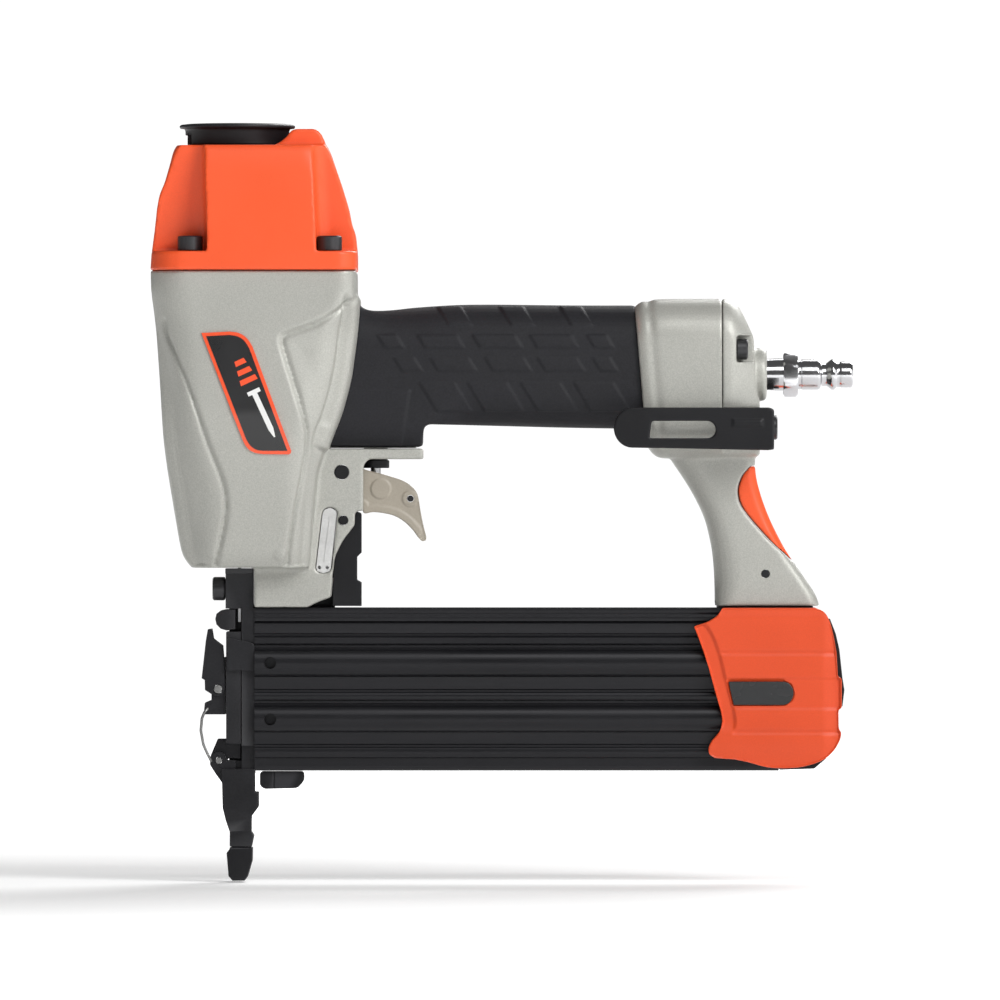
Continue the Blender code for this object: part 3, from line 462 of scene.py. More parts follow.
M_WINDOW = detail("smoked_window", (0.022, 0.023, 0.024), 0.25, 0.0, fine=900.0, fine_bump=0.05, bump_mm=0.03, broad=50.0, tint=0.10, fine_tint=0.05, rough_var=0.06)
M_LABEL = detail("label_black", (0.0085, 0.0085, 0.0095), 0.30, 0.0, fine=1200.0, fine_bump=0.05, bump_mm=0.02, broad=60.0, tint=0.12, fine_tint=0.05, rough_var=0.06, coat=0.3)
M_LABEL_ORANGE = detail("label_orange", (0.88, 0.085, 0.020), 0.32, 0.0, fine=1200.0, fine_bump=0.05, bump_mm=0.02, broad=60.0, tint=0.05, fine_tint=0.03, rough_var=0.05, coat=0.3)
M_LABEL_WHITE = detail("label_white", (0.78, 0.78, 0.77), 0.34, 0.0, fine=1200.0, fine_bump=0.05, bump_mm=0.02, broad=60.0, tint=0.03, fine_tint=0.02, rough_var=0.05, coat=0.3)
M_BUMPER = detail("bumper_rubber", (0.030, 0.030, 0.034), 0.75, 0.0, fine=1400.0, fine_bump=0.3, bump_mm=0.06, broad=50.0, tint=0.12, fine_tint=0.12)


def dress(obj, mat, body, *nodes, angle=None):
    obj.data.materials.clear()
    obj.data.materials.append(mat)
    smooth_shade(obj, angle)
    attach(obj, body)
    if nodes:
        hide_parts(*nodes)
    return obj


# ============================================================ shared outlines
DX = -94.6
FRONT = [
    (112.6, -111.5, -69.5, 22.0, 8, 7), (113.6, -113.6, -69.4, 23.6, 9, 8), (117.0, -115.0, -69.2, 24.7, 10, 9),
    (123.6, -116.3, -68.6, 26.0, 11, 9), (135.8, -118.3, -67.4, 29.0, 12, 11), (147.5, -120.2, -66.2, 31.5, 12, 12),
    (158.5, -121.6, -62.4, 33.0, 12, 14), (168.0, -122.2, -58.5, 33.9, 12, 15), (180.0, -122.9, -55.3, 34.0, 12, 15),
    (197.2, -124.1, -53.0, 34.0, 12, 13), (206.5, -125.2, -52.3, 34.0, 11.5, 9), (211.5, -126.0, -52.2, 34.0, 11, 6.5), (219.0, -126.1, -52.3, 34.0, 11, 6)]
FRAME = [(-89.2, 98.4), (-70.0, 98.4), (-66.4, 100.2), (-61.6, 102.0), (-61.0, 109.9), (-60.0, 117.0), (-57.4, 122.2), (-53.1, 127.9),
         (-52.9, 132.8), (-50.0, 133.1), (-50.0, 148.5), (-49.3, 150.3), (-47.7, 151.6), (-28.5, 151.6), (-28.5, 155.4), (-62.8, 155.4),
         (-70.0, 160.0), (-80.0, 140.0), (-89.2, 120.0)]
CREASE_FRONT = spline([(-121.5, 201.0), (-119.8, 194.7), (-112.4, 177.3), (-105.5, 157.5), (-100.3, 143.9), (-98.9, 136.5), (-99.3, 129.2), (-101.4, 119.3), (-102.9, 111.0)])
CREASE_REAR = [(-51.0, 210.6), (-58.5, 204.6), (-65.9, 200.3), (-72.5, 197.9)] + spline([(-77.0, 196.4), (-78.9, 194.5), (-77.4, 187.7), (-72.9, 172.9), (-70.0, 162.6), (-69.8, 156.0), (-70.3, 151.1), (-71.6, 144.1), (-73.8, 133.7), (-76.1, 121.5), (-77.6, 111.0)])
COLLAR = spline([(-52.3, 211.0), (-52.3, 205.2), (-53.2, 194.1), (-55.3, 179.8), (-59.2, 165.7), (-61.5, 161.2), (-63.2, 156.5)])


# ============================================================ casting, front part
def make_front():
    c = loft_z("casting_front", [(z, x0, x1, h, rf * 1.25, rr) for z, x0, x1, h, rf, rr in FRONT], 12, 1.2, 5)
    join(c, prism_y("f", FRAME, -12.0, 12.0))
    cut(c, prism_y("p", [(-68.2, 103.0), (-61.9, 103.0), (-61.9, 95.0), (-40.0, 95.0), (-40.0, 151.5), (-66.0, 151.5), (-68.2, 149.0)], -8.4, 8.4))
    slot = [(-67.2, 112.4), (-66.6, 111.1), (-64.3, 110.4), (-62.0, 111.1), (-61.3, 112.4), (-59.2, 132.3), (-59.8, 133.6), (-61.8, 134.4), (-63.9, 133.8), (-64.8, 132.3)]
    cut(c, prism_y("s", slot, -14.0, 14.0))
    remesh(c, 0.62)
    relax(c, 5)
    p, nrm = co_of(c), normals_of(c)
    x, y, z = p.T
    side = smoothstep((np.abs(nrm[:, 1]) - 0.25) / 0.4) * smoothstep((np.abs(y) - 14.0) / 4.0)
    d1, d2, d3 = dist_line(x, z, CREASE_FRONT), dist_line(x, z, CREASE_REAR), dist_line(x, z, COLLAR)
    left = inside(x, z, CREASE_FRONT + [(-102.9, 90.0), (-140.0, 90.0), (-140.0, 201.0)])
    right = inside(x, z, CREASE_REAR + [(-77.6, 90.0), (-30.0, 90.0), (-30.0, 210.6)])
    h = np.zeros(len(p))
    h -= side * 1.15 * np.exp(-(d1 / 0.9) ** 2)
    h -= side * left * (0.55 + 2.0 * smoothstep(d1 / 12.0)) * smoothstep((204.0 - z) / 14.0)
    h -= side * 1.15 * np.exp(-(d2 / 0.9) ** 2)
    h -= side * right * (0.75 + 1.0 * smoothstep(d2 / 9.0))
    # raised rim round the root of the handle
    rim = smoothstep((211.5 - z) / 3.0) * smoothstep((z - 153.0) / 3.0) * (np.abs(y) > 12.5)
    h += rim * 1.3 * np.exp(-((d3 - 0.8) / 1.35) ** 4)
    h -= rim * 0.9 * np.exp(-((d3 - 3.5) / 0.9) ** 2)
    # small cast dot low on the panel
    dot = np.hypot(x + 80.0, z - 117.2)
    h += side * 0.35 * smoothstep((2.1 - dot) / 0.5)
    p += nrm * h[:, None]
    set_co(c, p)
    relax(c, 3)
    decimate(c, 170000)
    cut(c, cyl_z("bore", DX, 0, 19.6, 127.0, 222.0, 64))
    cut(c, cyl_z("low", DX, 0, 16.0, 117.5, 130.0, 64))
    cut(c, box("slot", DX - 1.2, DX + 1.2, -2.6, 2.6, 96.0, 120.0))
    cut(c, cyl_z("head", DX, 0, 22.0, 213.0, 222.0, 64))
    cut(c, box("duct", -72.0, -45.0, -8.0, 8.0, 186.0, 199.0))
    cut(c, cyl_y("tp", -57.7, 146.9, 2.75, -14.0, 14.0, 32))
    cut(c, cyl_y("fp", -57.2, 129.6, 1.9, -14.0, 14.0, 24))
    cut(c, cyl_z("vh", -45.6, 0, 4.6, 148.0, 160.0, 32))
    for sx, sy in ((-111.8, -27.0), (-111.8, 27.0), (-61.9, -27.0), (-61.9, 27.0)):
        cut(c, cyl_z("sh", sx, sy, 2.8, 196.0, 222.0, 16))
    return dress(c, M_CAST, "tool_body", "body_casting", angle=48)


# ============================================================ casting, handle end and leg
LEG = [(157.0, 56.8, 90.9, 13.0, 9.5, 4), (152.4, 59.9, 90.8, 13.0, 9.5, 4), (146.7, 63.8, 90.8, 12.6, 9.5, 4), (141.9, 67.0, 91.8, 12.5, 9.5, 4),
       (135.3, 70.6, 93.9, 12.5, 9.0, 4), (129.5, 73.2, 96.2, 12.5, 9.0, 4), (119.2, 75.5, 101.4, 12.5, 9.0, 4), (111.5, 76.2, 106.8, 12.5, 9.0, 4),
       (105.5, 76.4, 111.0, 12.5, 9.0, 4), (100.4, 76.5, 114.2, 12.5, 6, 4), (98.9, 76.5, 113.9, 12.4, 6, 4)]
PAD_IN = spline([(89.2, 149.0), (87.9, 147.6), (86.2, 145.2), (84.9, 140.7), (85.9, 135.3), (90.1, 129.4), (96.6, 122.2), (101.4, 117.8), (104.3, 115.0)], 5)


def make_rear():
    c = loft_x("casting_rear", [(47.5, 157.0, 206.2, 18.6, 12, 13), (48.6, 154.6, 207.4, 19.8, 12, 13.5), (50.6, 152.9, 208.5, 20.6, 12, 14), (54.0, 152.0, 209.0, 20.9, 12, 14),
                                (60.0, 151.8, 209.2, 21.0, 12, 14), (78.85, 151.8, 209.2, 21.0, 12, 14)], 10, 0.8, 3)
    p = co_of(c)
    k = smoothstep((62.0 - p[:, 0]) / 14.0)
    p[:, 0] += k * 0.085 * (206.0 - p[:, 2])
    set_co(c, p)
    join(c, loft_x("e2", [(60.0, 151.9, 169.3, 16.0, 4, 4), (91.5, 152.4, 169.3, 16.0, 4, 4), (92.4, 153.2, 168.8, 15.2, 4, 4)], 5, 1.0, 1))
    join(c, loft_z("l", LEG, 6, 1.2, 5))
    pad = [(x - 0.35, z - 0.2) for x, z in PAD_IN]
    cut(c, prism_y("a", pad + [(114.0, 114.8), (114.0, 149.3), (89.2, 149.3)], -14.0, 14.0))
    remesh(c, 0.6)
    relax(c, 5)
    p, nrm = co_of(c), normals_of(c)
    x, y, z = p.T
    side = smoothstep((np.abs(nrm[:, 1]) - 0.2) / 0.4)
    h = np.zeros(len(p))
    # shallow valley behind the flared lip that meets the rubber
    lipx = x - 0.085 * (206.0 - z)
    around = (z > 160.0) | (np.abs(y) > 17.0)
    h -= 0.55 * np.exp(-((lipx - 52.6) / 1.7) ** 2) * around * (x < 62.0)
    # ledge line below the belt hook, left at zero height
    h += side * (np.abs(y) > 12.0) * 0.0
    p += nrm * h[:, None]
    set_co(c, p)
    decimate(c, 120000)
    cut(c, loft_x("air", [(40.0, 173.0, 199.0, 9.5, 6, 6), (82.0, 173.0, 199.0, 9.5, 6, 6)], 5, 50.0, 1))
    cut(c, cyl_y("lp", 94.5, 110.4, 1.6, -16.0, 16.0, 24))
    cut(c, cyl_x("bh", 0, 163.0, 2.8, 80.0, 95.0, 24))
    for sy in (-14.0, 14.0):
        cut(c, cyl_x("eh", sy, 191.0, 1.9, 66.0, 80.0, 16))
    return dress(c, M_CAST, "tool_body", "body_casting", angle=48)


def make_leg_pad():
    c = loft_z("leg_pad", LEG, 6, 1.2, 5)
    common(c, prism_y("a", PAD_IN + [(114.0, 115.0), (114.0, 149.0)], -12.4, 12.4))
    remesh(c, 0.5)
    relax(c, 3)
    decimate(c, 40000)
    return dress(c, M_ORANGE, "tool_body", "leg_insert", angle=50)


# ============================================================ orange cap
def make_cap():
    c = loft_z("cap_shell", [
        (219.3, -126.1, -52.2, 35.5, 11.5, 7), (225.9, -125.7, -52.2, 35.4, 11.5, 7), (232.7, -124.8, -52.9, 35.0, 11.5, 8), (236.0, -124.4, -54.2, 34.8, 12, 8),
        (241.7, -123.8, -55.3, 34.2, 12, 9), (246.4, -122.9, -56.7, 33.6, 12, 9), (250.6, -121.1, -58.0, 32.8, 12, 10), (257.0, -119.3, -60.2, 31.6, 12, 10),
        (262.4, -117.9, -62.0, 30.2, 11, 10), (264.1, -116.7, -63.0, 29.0, 10, 9)], 10, 0.8, 3)
    hp = [(-84.0, 258.0), (-84.0, 263.9)] + spline([(-81.8, 264.1), (-79.3, 265.5), (-77.3, 267.2), (-75.7, 269.2), (-74.0, 269.9)], 5) + \
         spline([(-70.0, 269.9), (-67.2, 269.8), (-65.2, 268.4), (-63.9, 265.8), (-62.6, 261.6)], 5) + [(-62.6, 258.0)]
    hump = prism_y("hump", hp, -23.0, 23.0)
    join(c, hump)
    cut(c, cyl_z("pk", -95.4, 0, 21.7, 264.15, 275.0, 72))
    cut(c, cyl_z("pk2", -95.4, 0, 19.2, 262.6, 275.0, 64))
    for sx, sy in ((-111.8, -27.0), (-111.8, 27.0), (-61.9, -27.0), (-61.9, 27.0)):
        s = -1.0 if sy < 0 else 1.0
        left = sx < -90
        rings = []
        for z, k in ((226.0, 0.0), (232.0, 0.05), (268.0, 1.0)):
            xi = (-105.6 - 1.2 * k) if left else (-66.6 - 1.6 * k)
            yi = 20.6 + 4.2 * k
            r = 5.5
            far = -140.0 if left else -40.0
            d = 1.0 if left else -1.0
            arc = []
            for q in range(9):
                t = math.radians(90.0 * q / 8)
                arc.append((xi - d * r + d * r * math.sin(t), s * (yi + r - r * math.cos(t)), z))
            rings.append([(far, s * yi, z)] + arc + [(xi, s * 45.0, z), (far, s * 45.0, z)])
        cut(c, loft("sc", rings))
    remesh(c, 0.55)
    relax(c, 12)
    decimate(c, 130000)
    cut(c, cyl_z("cv", DX, 0, 22.0, 215.0, 250.0, 64))
    cut(c, box("cd", -76.0, -60.0, -8.0, 8.0, 215.0, 225.0))
    cut(c, cyl_z("ex", DX, 0, 7.0, 245.0, 268.0, 32))
    for sx, sy in ((-111.8, -27.0), (-111.8, 27.0), (-61.9, -27.0), (-61.9, 27.0)):
        cut(c, cyl_z("ch", sx, sy, 2.8, 215.0, 240.0, 16))
    return dress(c, M_ORANGE, "tool_body", "top_cap", angle=50)


def socket_screw(name, axis, c, h0, h1, h2, r_shank, r_head, r_hex, depth, body, nodes, mat):
    """Socket-head screw: h0 shank end, h1 under the head, h2 top of the head."""
    s = 1.0 if h2 > h1 else -1.0
    e = 0.45 * s
    prof = [(r_shank, h0), (r_shank, h1), (r_head - 0.25, h1), (r_head, h1 + e * 0.6), (r_head, h2 - e), (r_head - 0.5, h2), (r_hex + 0.35, h2), (r_hex + 0.05, h2 - 0.3 * s)]
    n = 60
    verts, faces = [], []
    def put(a, b, h):
        if axis == "z":
            verts.append((c[0] + a, c[1] + b, h))
        elif axis == "x":
            verts.append((h, c[0] + a, c[1] + b))
        else:
            verts.append((c[0] + a, h, c[1] + b))
    rings = []
    for i in range(n):
        t = 2 * math.pi * i / n
        for r, h in prof:
            put(r * math.cos(t), r * math.sin(t), h)
        # hexagonal wall
        u = (t % (math.pi / 3)) - math.pi / 6
        rh = r_hex * math.cos(math.pi / 6) / math.cos(u)
        put(rh * math.cos(t), rh * math.sin(t), h2 - 0.35 * s)
        put(rh * math.cos(t), rh * math.sin(t), h2 - depth * s)
    m = len(prof) + 2
    for i in range(n):
        j = (i + 1) % n
        for k in range(m - 1):
            faces.append((i * m + k, j * m + k, j * m + k + 1, i * m + k + 1))
    faces.append(tuple(i * m for i in range(n)))
    faces.append(tuple(i * m + m - 1 for i in range(n)))
    o = new_object(name, verts, faces)
    return dress(o, mat, body, *nodes, angle=35)


# ============================================================ exhaust deflector
def make_deflector():
    prof = [(3.0, 270.9), (5.1, 270.9), (5.1, 271.6), (5.5, 272.0), (12.0, 272.22), (18.0, 272.15), (20.2, 271.9), (20.75, 271.5), (20.8, 271.0), (20.5, 270.55), (19.2, 270.4),
            (18.9, 270.1), (18.7, 269.5), (18.6, 264.9), (18.2, 264.4), (15.7, 264.4), (15.5, 264.9), (15.5, 268.8), (15.0, 269.2), (4.6, 269.2), (4.2, 268.8), (4.2, 264.6), (3.0, 264.6)]
    d = turned("deflector_disc", prof, "z", (-95.4, 0), 120)
    cut(d, box("d3", -120.0, -100.0, -9.0, 9.0, 262.0, 268.2))
    for a in (-6.0, -2.0, 2.0, 6.0):
        join(d, box("fin", -113.2, -108.6, a - 0.45, a + 0.45, 264.7, 268.8))
    return dress(d, M_BLACK, "deflector", "exhaust_deflector", angle=35)


# ============================================================ rubber grip
GRIP = spline([(-61.5, 155.9), (-40.0, 155.85), (-30.6, 155.9)], 2) + [(-29.2, 156.1), (-28.6, 156.8), (-28.5, 161.0), (-28.3, 162.6), (-27.5, 163.8), (-26.0, 164.2)] + \
    spline([(-14.0, 163.9), (-3.4, 163.6), (24.2, 162.9), (50.2, 162.5)], 6) + spline([(51.5, 171.0), (50.7, 180.8), (49.2, 193.6), (47.8, 206.6)], 6) + \
    spline([(46.5, 206.9), (24.2, 206.9), (-3.0, 207.2), (-17.1, 207.0), (-30.9, 206.1), (-38.0, 205.3), (-44.0, 204.9), (-48.2, 205.2), (-50.6, 206.4), (-51.7, 207.9)], 6) + \
    spline([(-51.7, 205.2), (-52.7, 194.1), (-54.9, 179.8), (-58.8, 165.7), (-61.1, 161.2), (-62.4, 157.5)], 6)
PADS = []
for xa, xb in ((443, 467), (505, 529), (565, 587)):
    PADS.append((xa, xb, 307.0, 326.5, 0.62))
for xa, xb in ((381, 401), (421, 461), (476, 519), (533, 575), (590, 610)):
    PADS.append((xa, xb, 335.3, 348.8, 0.62))
for xa, xb in ((398, 419), (434, 473), (489, 528), (541, 581), (596, 614)):
    PADS.append((xa, xb, 358.3, 371.8, 0.62))
for xa, xb in ((428, 464), (476, 516), (529, 569), (582, 622)):
    PADS.append((xa, xb, 383.0, 412.0, 0.62))


def pad_field(x, z):
    """Height of the raised pads: 1 on a pad, 0 between, in the side view."""
    f = np.zeros(len(x))
    for xa, xb, ya, yb, lean in PADS:
        xa, xb = (xa - 502.4) * 0.36, (xb - 502.4) * 0.36
        z1, z0 = (880.4 - ya) * 0.36, (880.4 - yb) * 0.36
        zc = (z0 + z1) / 2
        u = x + lean * (z - zc)
        d = np.minimum(np.minimum(u - xa, xb - u), np.minimum(z - z0, z1 - z))
        f = np.maximum(f, smoothstep((d + 0.25) / 0.7))
    return f


def make_grip():
    g = loft_x("grip_skin", [
        (-66.0, 155.7, 207.9, 16.6, 9, 14), (-52.0, 155.7, 207.9, 16.8, 9, 14), (-41.0, 155.7, 206.0, 17.0, 9, 14), (-30.0, 155.7, 206.3, 17.1, 9, 14),
        (-26.0, 157.5, 206.6, 17.2, 11, 14), (-15.0, 163.4, 207.2, 17.2, 13, 14), (0.0, 163.4, 207.2, 17.1, 13, 14), (30.0, 162.6, 207.0, 17.0, 13, 14), (53.0, 162.2, 206.9, 17.0, 13, 14)], 10, 1.0, 5)
    common(g, prism_y("gp", GRIP, -24.0, 24.0))
    remesh(g, 0.5)
    relax(g, 8)
    p, nrm = co_of(g), normals_of(g)
    x, y, z = p.T
    side = smoothstep((np.abs(nrm[:, 1]) - 0.12) / 0.25) * (x > -48.0) * (x < 46.8)
    h = side * 0.50 * pad_field(x, z)
    # smooth panel above the trigger
    panel = np.minimum(np.minimum(-33.2 - x + 0.14 * (z - 176.0), 176.4 - z), z - 150.0)
    h += side * 0.0
    h += smoothstep((np.abs(nrm[:, 1]) - 0.3) / 0.3) * (x < -30.0) * 0.55 * smoothstep((panel + 0.2) / 0.7)
    p += nrm * h[:, None]
    set_co(g, p)
    relax(g, 1)
    decimate(g, 150000)
    cut(g, loft_x("core", [(-80.0, 167.2, 203.3, 13.3, 8, 8), (62.0, 167.2, 203.3, 13.3, 8, 8)], 6, 200.0, 1))
    cut(g, box("boss", -80.0, -30.7, -9.3, 9.3, 150.0, 172.0))
    return dress(g, M_RUBBER, "tool_body", "grip_sleeve", angle=50)


def make_slot_strips():
    """Bright wear strip seated in the long slot of the frame plate, one on each face."""
    out = [(-66.9, 112.5), (-66.4, 111.3), (-64.3, 110.6), (-62.1, 111.3), (-61.6, 112.5), (-59.5, 132.3), (-60.0, 133.3), (-61.8, 134.1), (-63.7, 133.5), (-64.5, 132.3)]
    for side, s in (("left", -1.0), ("right", 1.0)):
        y0, y1 = sorted((s * 9.4, s * 11.3))
        st = prism_y("slot_strip_" + side, out, y0, y1)
        for hx in (-65.7, -62.9):
            cut(st, cyl_y("sh", hx, 112.7, 0.62, -14.0, 14.0, 20))
        cut(st, prism_y("sg", [(-64.6, 114.6), (-64.1, 114.5), (-62.1, 130.6), (-62.6, 130.7)], *sorted((s * 11.0, s * 12.0))))
        bevel(st, 0.25, 2, 40.0)
        dress(st, M_STRIP, "tool_body", angle=40)


def make_core():
    c = loft_x("handle_core", [(-63.0, 167.5, 203.0, 13.0, 8, 8), (60.0, 167.5, 203.0, 13.0, 8, 8)], 6, 6.0, 1)
    join(c, box("boss", -62.5, -31.0, -9.0, 9.0, 155.6, 171.0))
    cut(c, loft_x("air", [(-70.0, 173.0, 199.0, 9.5, 6, 6), (66.0, 173.0, 199.0, 9.5, 6, 6)], 6, 200.0, 1))
    cut(c, cyl_z("vh", -45.6, 0, 4.6, 148.0, 176.0, 32))
    return dress(c, M_CAST, "tool_body", "body_casting", angle=40)


# ============================================================ rear cap
def make_end_cap():
    prof = [(79.1, 209.2), (80.6, 209.2), (82.2, 208.7), (83.6, 207.8), (85.3, 205.9), (87.0, 202.6), (88.8, 198.7), (90.1, 195.9), (90.4, 193.4), (90.6, 180.0), (91.2, 175.0), (92.3, 172.4), (92.5, 169.9), (79.1, 169.9)]
    e = loft_x("rear_cap", [(79.1, 162.0, 209.2, 21.0, 12, 14), (82.0, 162.0, 208.9, 20.9, 12, 14), (84.5, 162.0, 207.2, 20.0, 12, 14), (87.5, 162.0, 202.4, 17.8, 12, 14),
                            (90.4, 163.0, 197.0, 14.6, 12, 13), (92.8, 165.0, 192.0, 12.5, 11, 12)], 10, 0.8, 3)
    common(e, prism_y("ep", prof, -24.0, 24.0))
    neck = turned("nk", rounded([(1.0, 86.0), (9.5, 86.0), (9.5, 94.0), (8.6, 95.1), (1.0, 95.1)], 0.6), "x", (0, 182.1), 64)
    cut(neck, cyl_x("nkh", 0, 182.1, 2.0, 84.0, 98.0, 24))
    join(e, neck)
    for s in (-1.0, 1.0):
        y0, y1 = sorted((s * 9.9, s * 30.0))
        cut(e, box("er", 83.9, 100.0, y0, y1, 186.3, 195.9))
    remesh(e, 0.45)
    relax(e, 5)
    decimate(e, 90000)
    cut(e, loft_x("ea", [(78.0, 173.0, 199.0, 9.5, 6, 6), (85.0, 173.5, 198.0, 9.0, 6, 6)], 5, 50.0, 1))
    cut(e, cyl_x("eb", 0, 182.0, 6.0, 84.0, 97.0, 48))
    for sy in (-14.0, 14.0):
        cut(e, cyl_x("eh", sy, 191.0, 1.9, 78.0, 90.0, 16))
    return dress(e, M_CAST, "tool_body", "end_cap", angle=48)


def make_plug():
    prof = rounded([(2.4, 86.0), (5.7, 86.0), (5.7, 96.0), (5.9, 99.6), (5.9, 106.0), (5.3, 106.4), (5.3, 107.6), (5.5, 107.8), (5.5, 113.6), (5.1, 114.4), (4.2, 115.0), (4.1, 116.6), (4.9, 117.6), (5.5, 118.4),
                    (5.6, 119.2), (5.2, 119.9), (4.55, 120.5), (4.5, 121.4), (4.7, 122.0), (4.7, 125.4), (4.2, 126.1), (2.9, 126.1), (2.4, 125.4)], 0.22, 3)
    p = turned("inlet_plug", prof, "x", (0, 182.0), 96)
    # hexagon with turned-down corners
    hexa = []
    for x, k in ((101.1, 0.90), (101.7, 1.0), (105.7, 1.0), (106.3, 0.90)):
        ring = []
        for i in range(48):
            t = 2 * math.pi * i / 48 + math.radians(30)
            u = ((t - math.radians(30)) % (math.pi / 3)) - math.pi / 6
            r = min(7.0 / math.cos(u), 7.95 * k)
            ring.append((x, r * math.cos(t), 182.0 + r * math.sin(t)))
        hexa.append(ring)
    h = loft("hx", hexa)
    cut(h, cyl_x("hb", 0, 182.0, 4.4, 99.0, 109.0, 64))
    join(p, h)
    return dress(p, M_CHROME, "tool_body", "air_plug", angle=30)


# ============================================================ belt hook
def make_hook():
    out = [(95.4, 154.7), (97.0, 155.4), (97.2, 156.4), (97.2, 168.6), (96.6, 169.6), (95.4, 170.0), (60.0, 170.0)]
    nose = [(46.5 + 7.2 * math.cos(math.radians(a)) * 0.93, 162.8 + 7.2 * math.sin(math.radians(a))) for a in range(92, 269, 8)]
    pts = [(x, z) for x, z in out] + [(46.5, 170.0)] + nose + [(46.5, 155.6), (60.0, 155.4)]
    h = prism_y("hook", pts, -33.0, -29.2)
    join(h, box("hp", 92.9, 97.2, -32.0, 8.0, 154.9, 169.3))
    w = [(52.6, 159.0), (73.2, 159.0)] + [(73.2 + 3.1 * math.cos(math.radians(a)), 162.1 + 3.1 * math.sin(math.radians(a))) for a in range(-80, 81, 16)] + [(73.2, 165.2), (53.4, 165.2)]
    cut(h, prism_y("hw", w, -36.0, -26.0))
    remesh(h, 0.38)
    relax(h, 6)
    p, nrm = co_of(h), normals_of(h)
    x, y, z = p.T
    bump = np.minimum(np.minimum(x - 82.4, 93.0 - x), np.minimum(z - 163.2, 165.6 - z))
    hh = (y < -32.0) * smoothstep((-nrm[:, 1] - 0.5) / 0.3) * 0.7 * smoothstep((bump + 0.6) / 1.2)
    p += nrm * hh[:, None]
    set_co(h, p)
    relax(h, 1)
    decimate(h, 90000)
    cut(h, cyl_x("hh", 0, 163.0, 2.8, 90.0, 99.0, 32))
    return dress(h, M_BLACK, "belt_hook", "belt_hook", angle=48)


# ============================================================ badges
def wall(z):
    if z >= 168.0:
        return 34.0
    if z >= 158.5:
        return 33.0 + (z - 158.5) / 9.5
    return 31.5 + (z - 147.5) / 11.0 * 1.5


BADGE = [(-107.6, 196.6)] + spline([(-97.6, 197.1), (-94.6, 196.7), (-92.4, 195.6), (-90.7, 193.9), (-89.3, 191.6)], 4) + \
        [(-75.5, 154.4), (-75.7, 153.6), (-76.4, 153.2)] + spline([(-85.6, 153.3), (-88.2, 153.7), (-90.3, 154.7), (-91.8, 156.3), (-92.9, 158.4)], 4)


FIELD = [(-105.9, 195.45)] + spline([(-97.7, 195.9), (-95.1, 195.5), (-93.2, 194.6), (-91.8, 193.2), (-90.5, 191.1)], 3) + [(-76.9, 154.5)] + \
        spline([(-85.5, 154.5), (-87.7, 154.8), (-89.4, 155.7), (-90.7, 157.1), (-91.7, 158.9)], 3)


def label_sheet(name, poly, s, y_in, y_out, mat, replaces=()):
    """A thin plate with the outline poly that follows the side wall; s is the side."""
    zs = [150.0, 154.0, 158.5, 160.0, 163.0, 166.0, 168.0, 170.0, 200.0]
    yz = [(s * (wall(z) + y_in), z) for z in zs] + [(s * (wall(z) + y_out), z) for z in reversed(zs)]
    plate = prism_x(name, yz, -114.0, -68.0)
    common(plate, prism_y("pp", poly, -40.0, 40.0))
    return dress(plate, mat, "tool_body", *replaces, angle=30)


def make_badges():
    for side, s in (("left", -1.0), ("right", 1.0)):
        label_sheet("badge_rim_" + side, BADGE, s, 0.02, 0.62, M_LABEL_ORANGE, ("badge_" + side,))
        label_sheet("badge_field_" + side, FIELD, s, 0.30, 0.74, M_LABEL)
        # generic motif: a plain brad and three speed bars, no lettering
        ax = np.array((-80.6, 157.6))
        bx = np.array((-96.0, 191.0))
        d = (bx - ax) / np.linalg.norm(bx - ax)
        q = np.array((-d[1], d[0]))

        def bar(name, t0, t1, w0, w1, mat, y1=0.86):
            pts = [tuple(ax + d * t0 - q * w0), tuple(ax + d * t1 - q * w1), tuple(ax + d * t1 + q * w1), tuple(ax + d * t0 + q * w0)]
            return label_sheet(name, pts, s, 0.50, y1, mat)
        bar("badge_brad_point_" + side, 2.0, 5.2, 0.25, 0.95, M_LABEL_WHITE)
        bar("badge_brad_shank_" + side, 5.2, 19.0, 0.95, 0.95, M_LABEL_WHITE)
        bar("badge_brad_head_" + side, 19.0, 20.5, 2.4, 2.4, M_LABEL_WHITE)
        for i, (a, w) in enumerate(((23.5, 3.3), (27.0, 2.7), (30.5, 2.1))):
            bar("badge_bar_%d_%s" % (i, side), a, a + 1.9, w, w - 0.3, M_LABEL_ORANGE)


# ============================================================ trigger
TRIG = spline([(-60.8, 144.2), (-61.5, 147.2), (-60.6, 149.4), (-58.6, 150.6), (-55.0, 150.7), (-49.8, 148.0), (-44.5, 146.6), (-40.8, 145.5), (-36.2, 144.0), (-32.9, 142.0), (-30.8, 139.4), (-30.0, 136.2),
               (-29.5, 132.9), (-28.5, 127.9), (-27.4, 123.4), (-27.8, 122.3), (-29.0, 122.2), (-30.4, 123.6), (-32.3, 126.2), (-35.4, 129.2), (-39.1, 131.3), (-43.6, 132.3), (-46.9, 132.5), (-49.7, 132.1), (-50.6, 134.4), (-53.0, 138.5), (-57.0, 142.9)], 4)


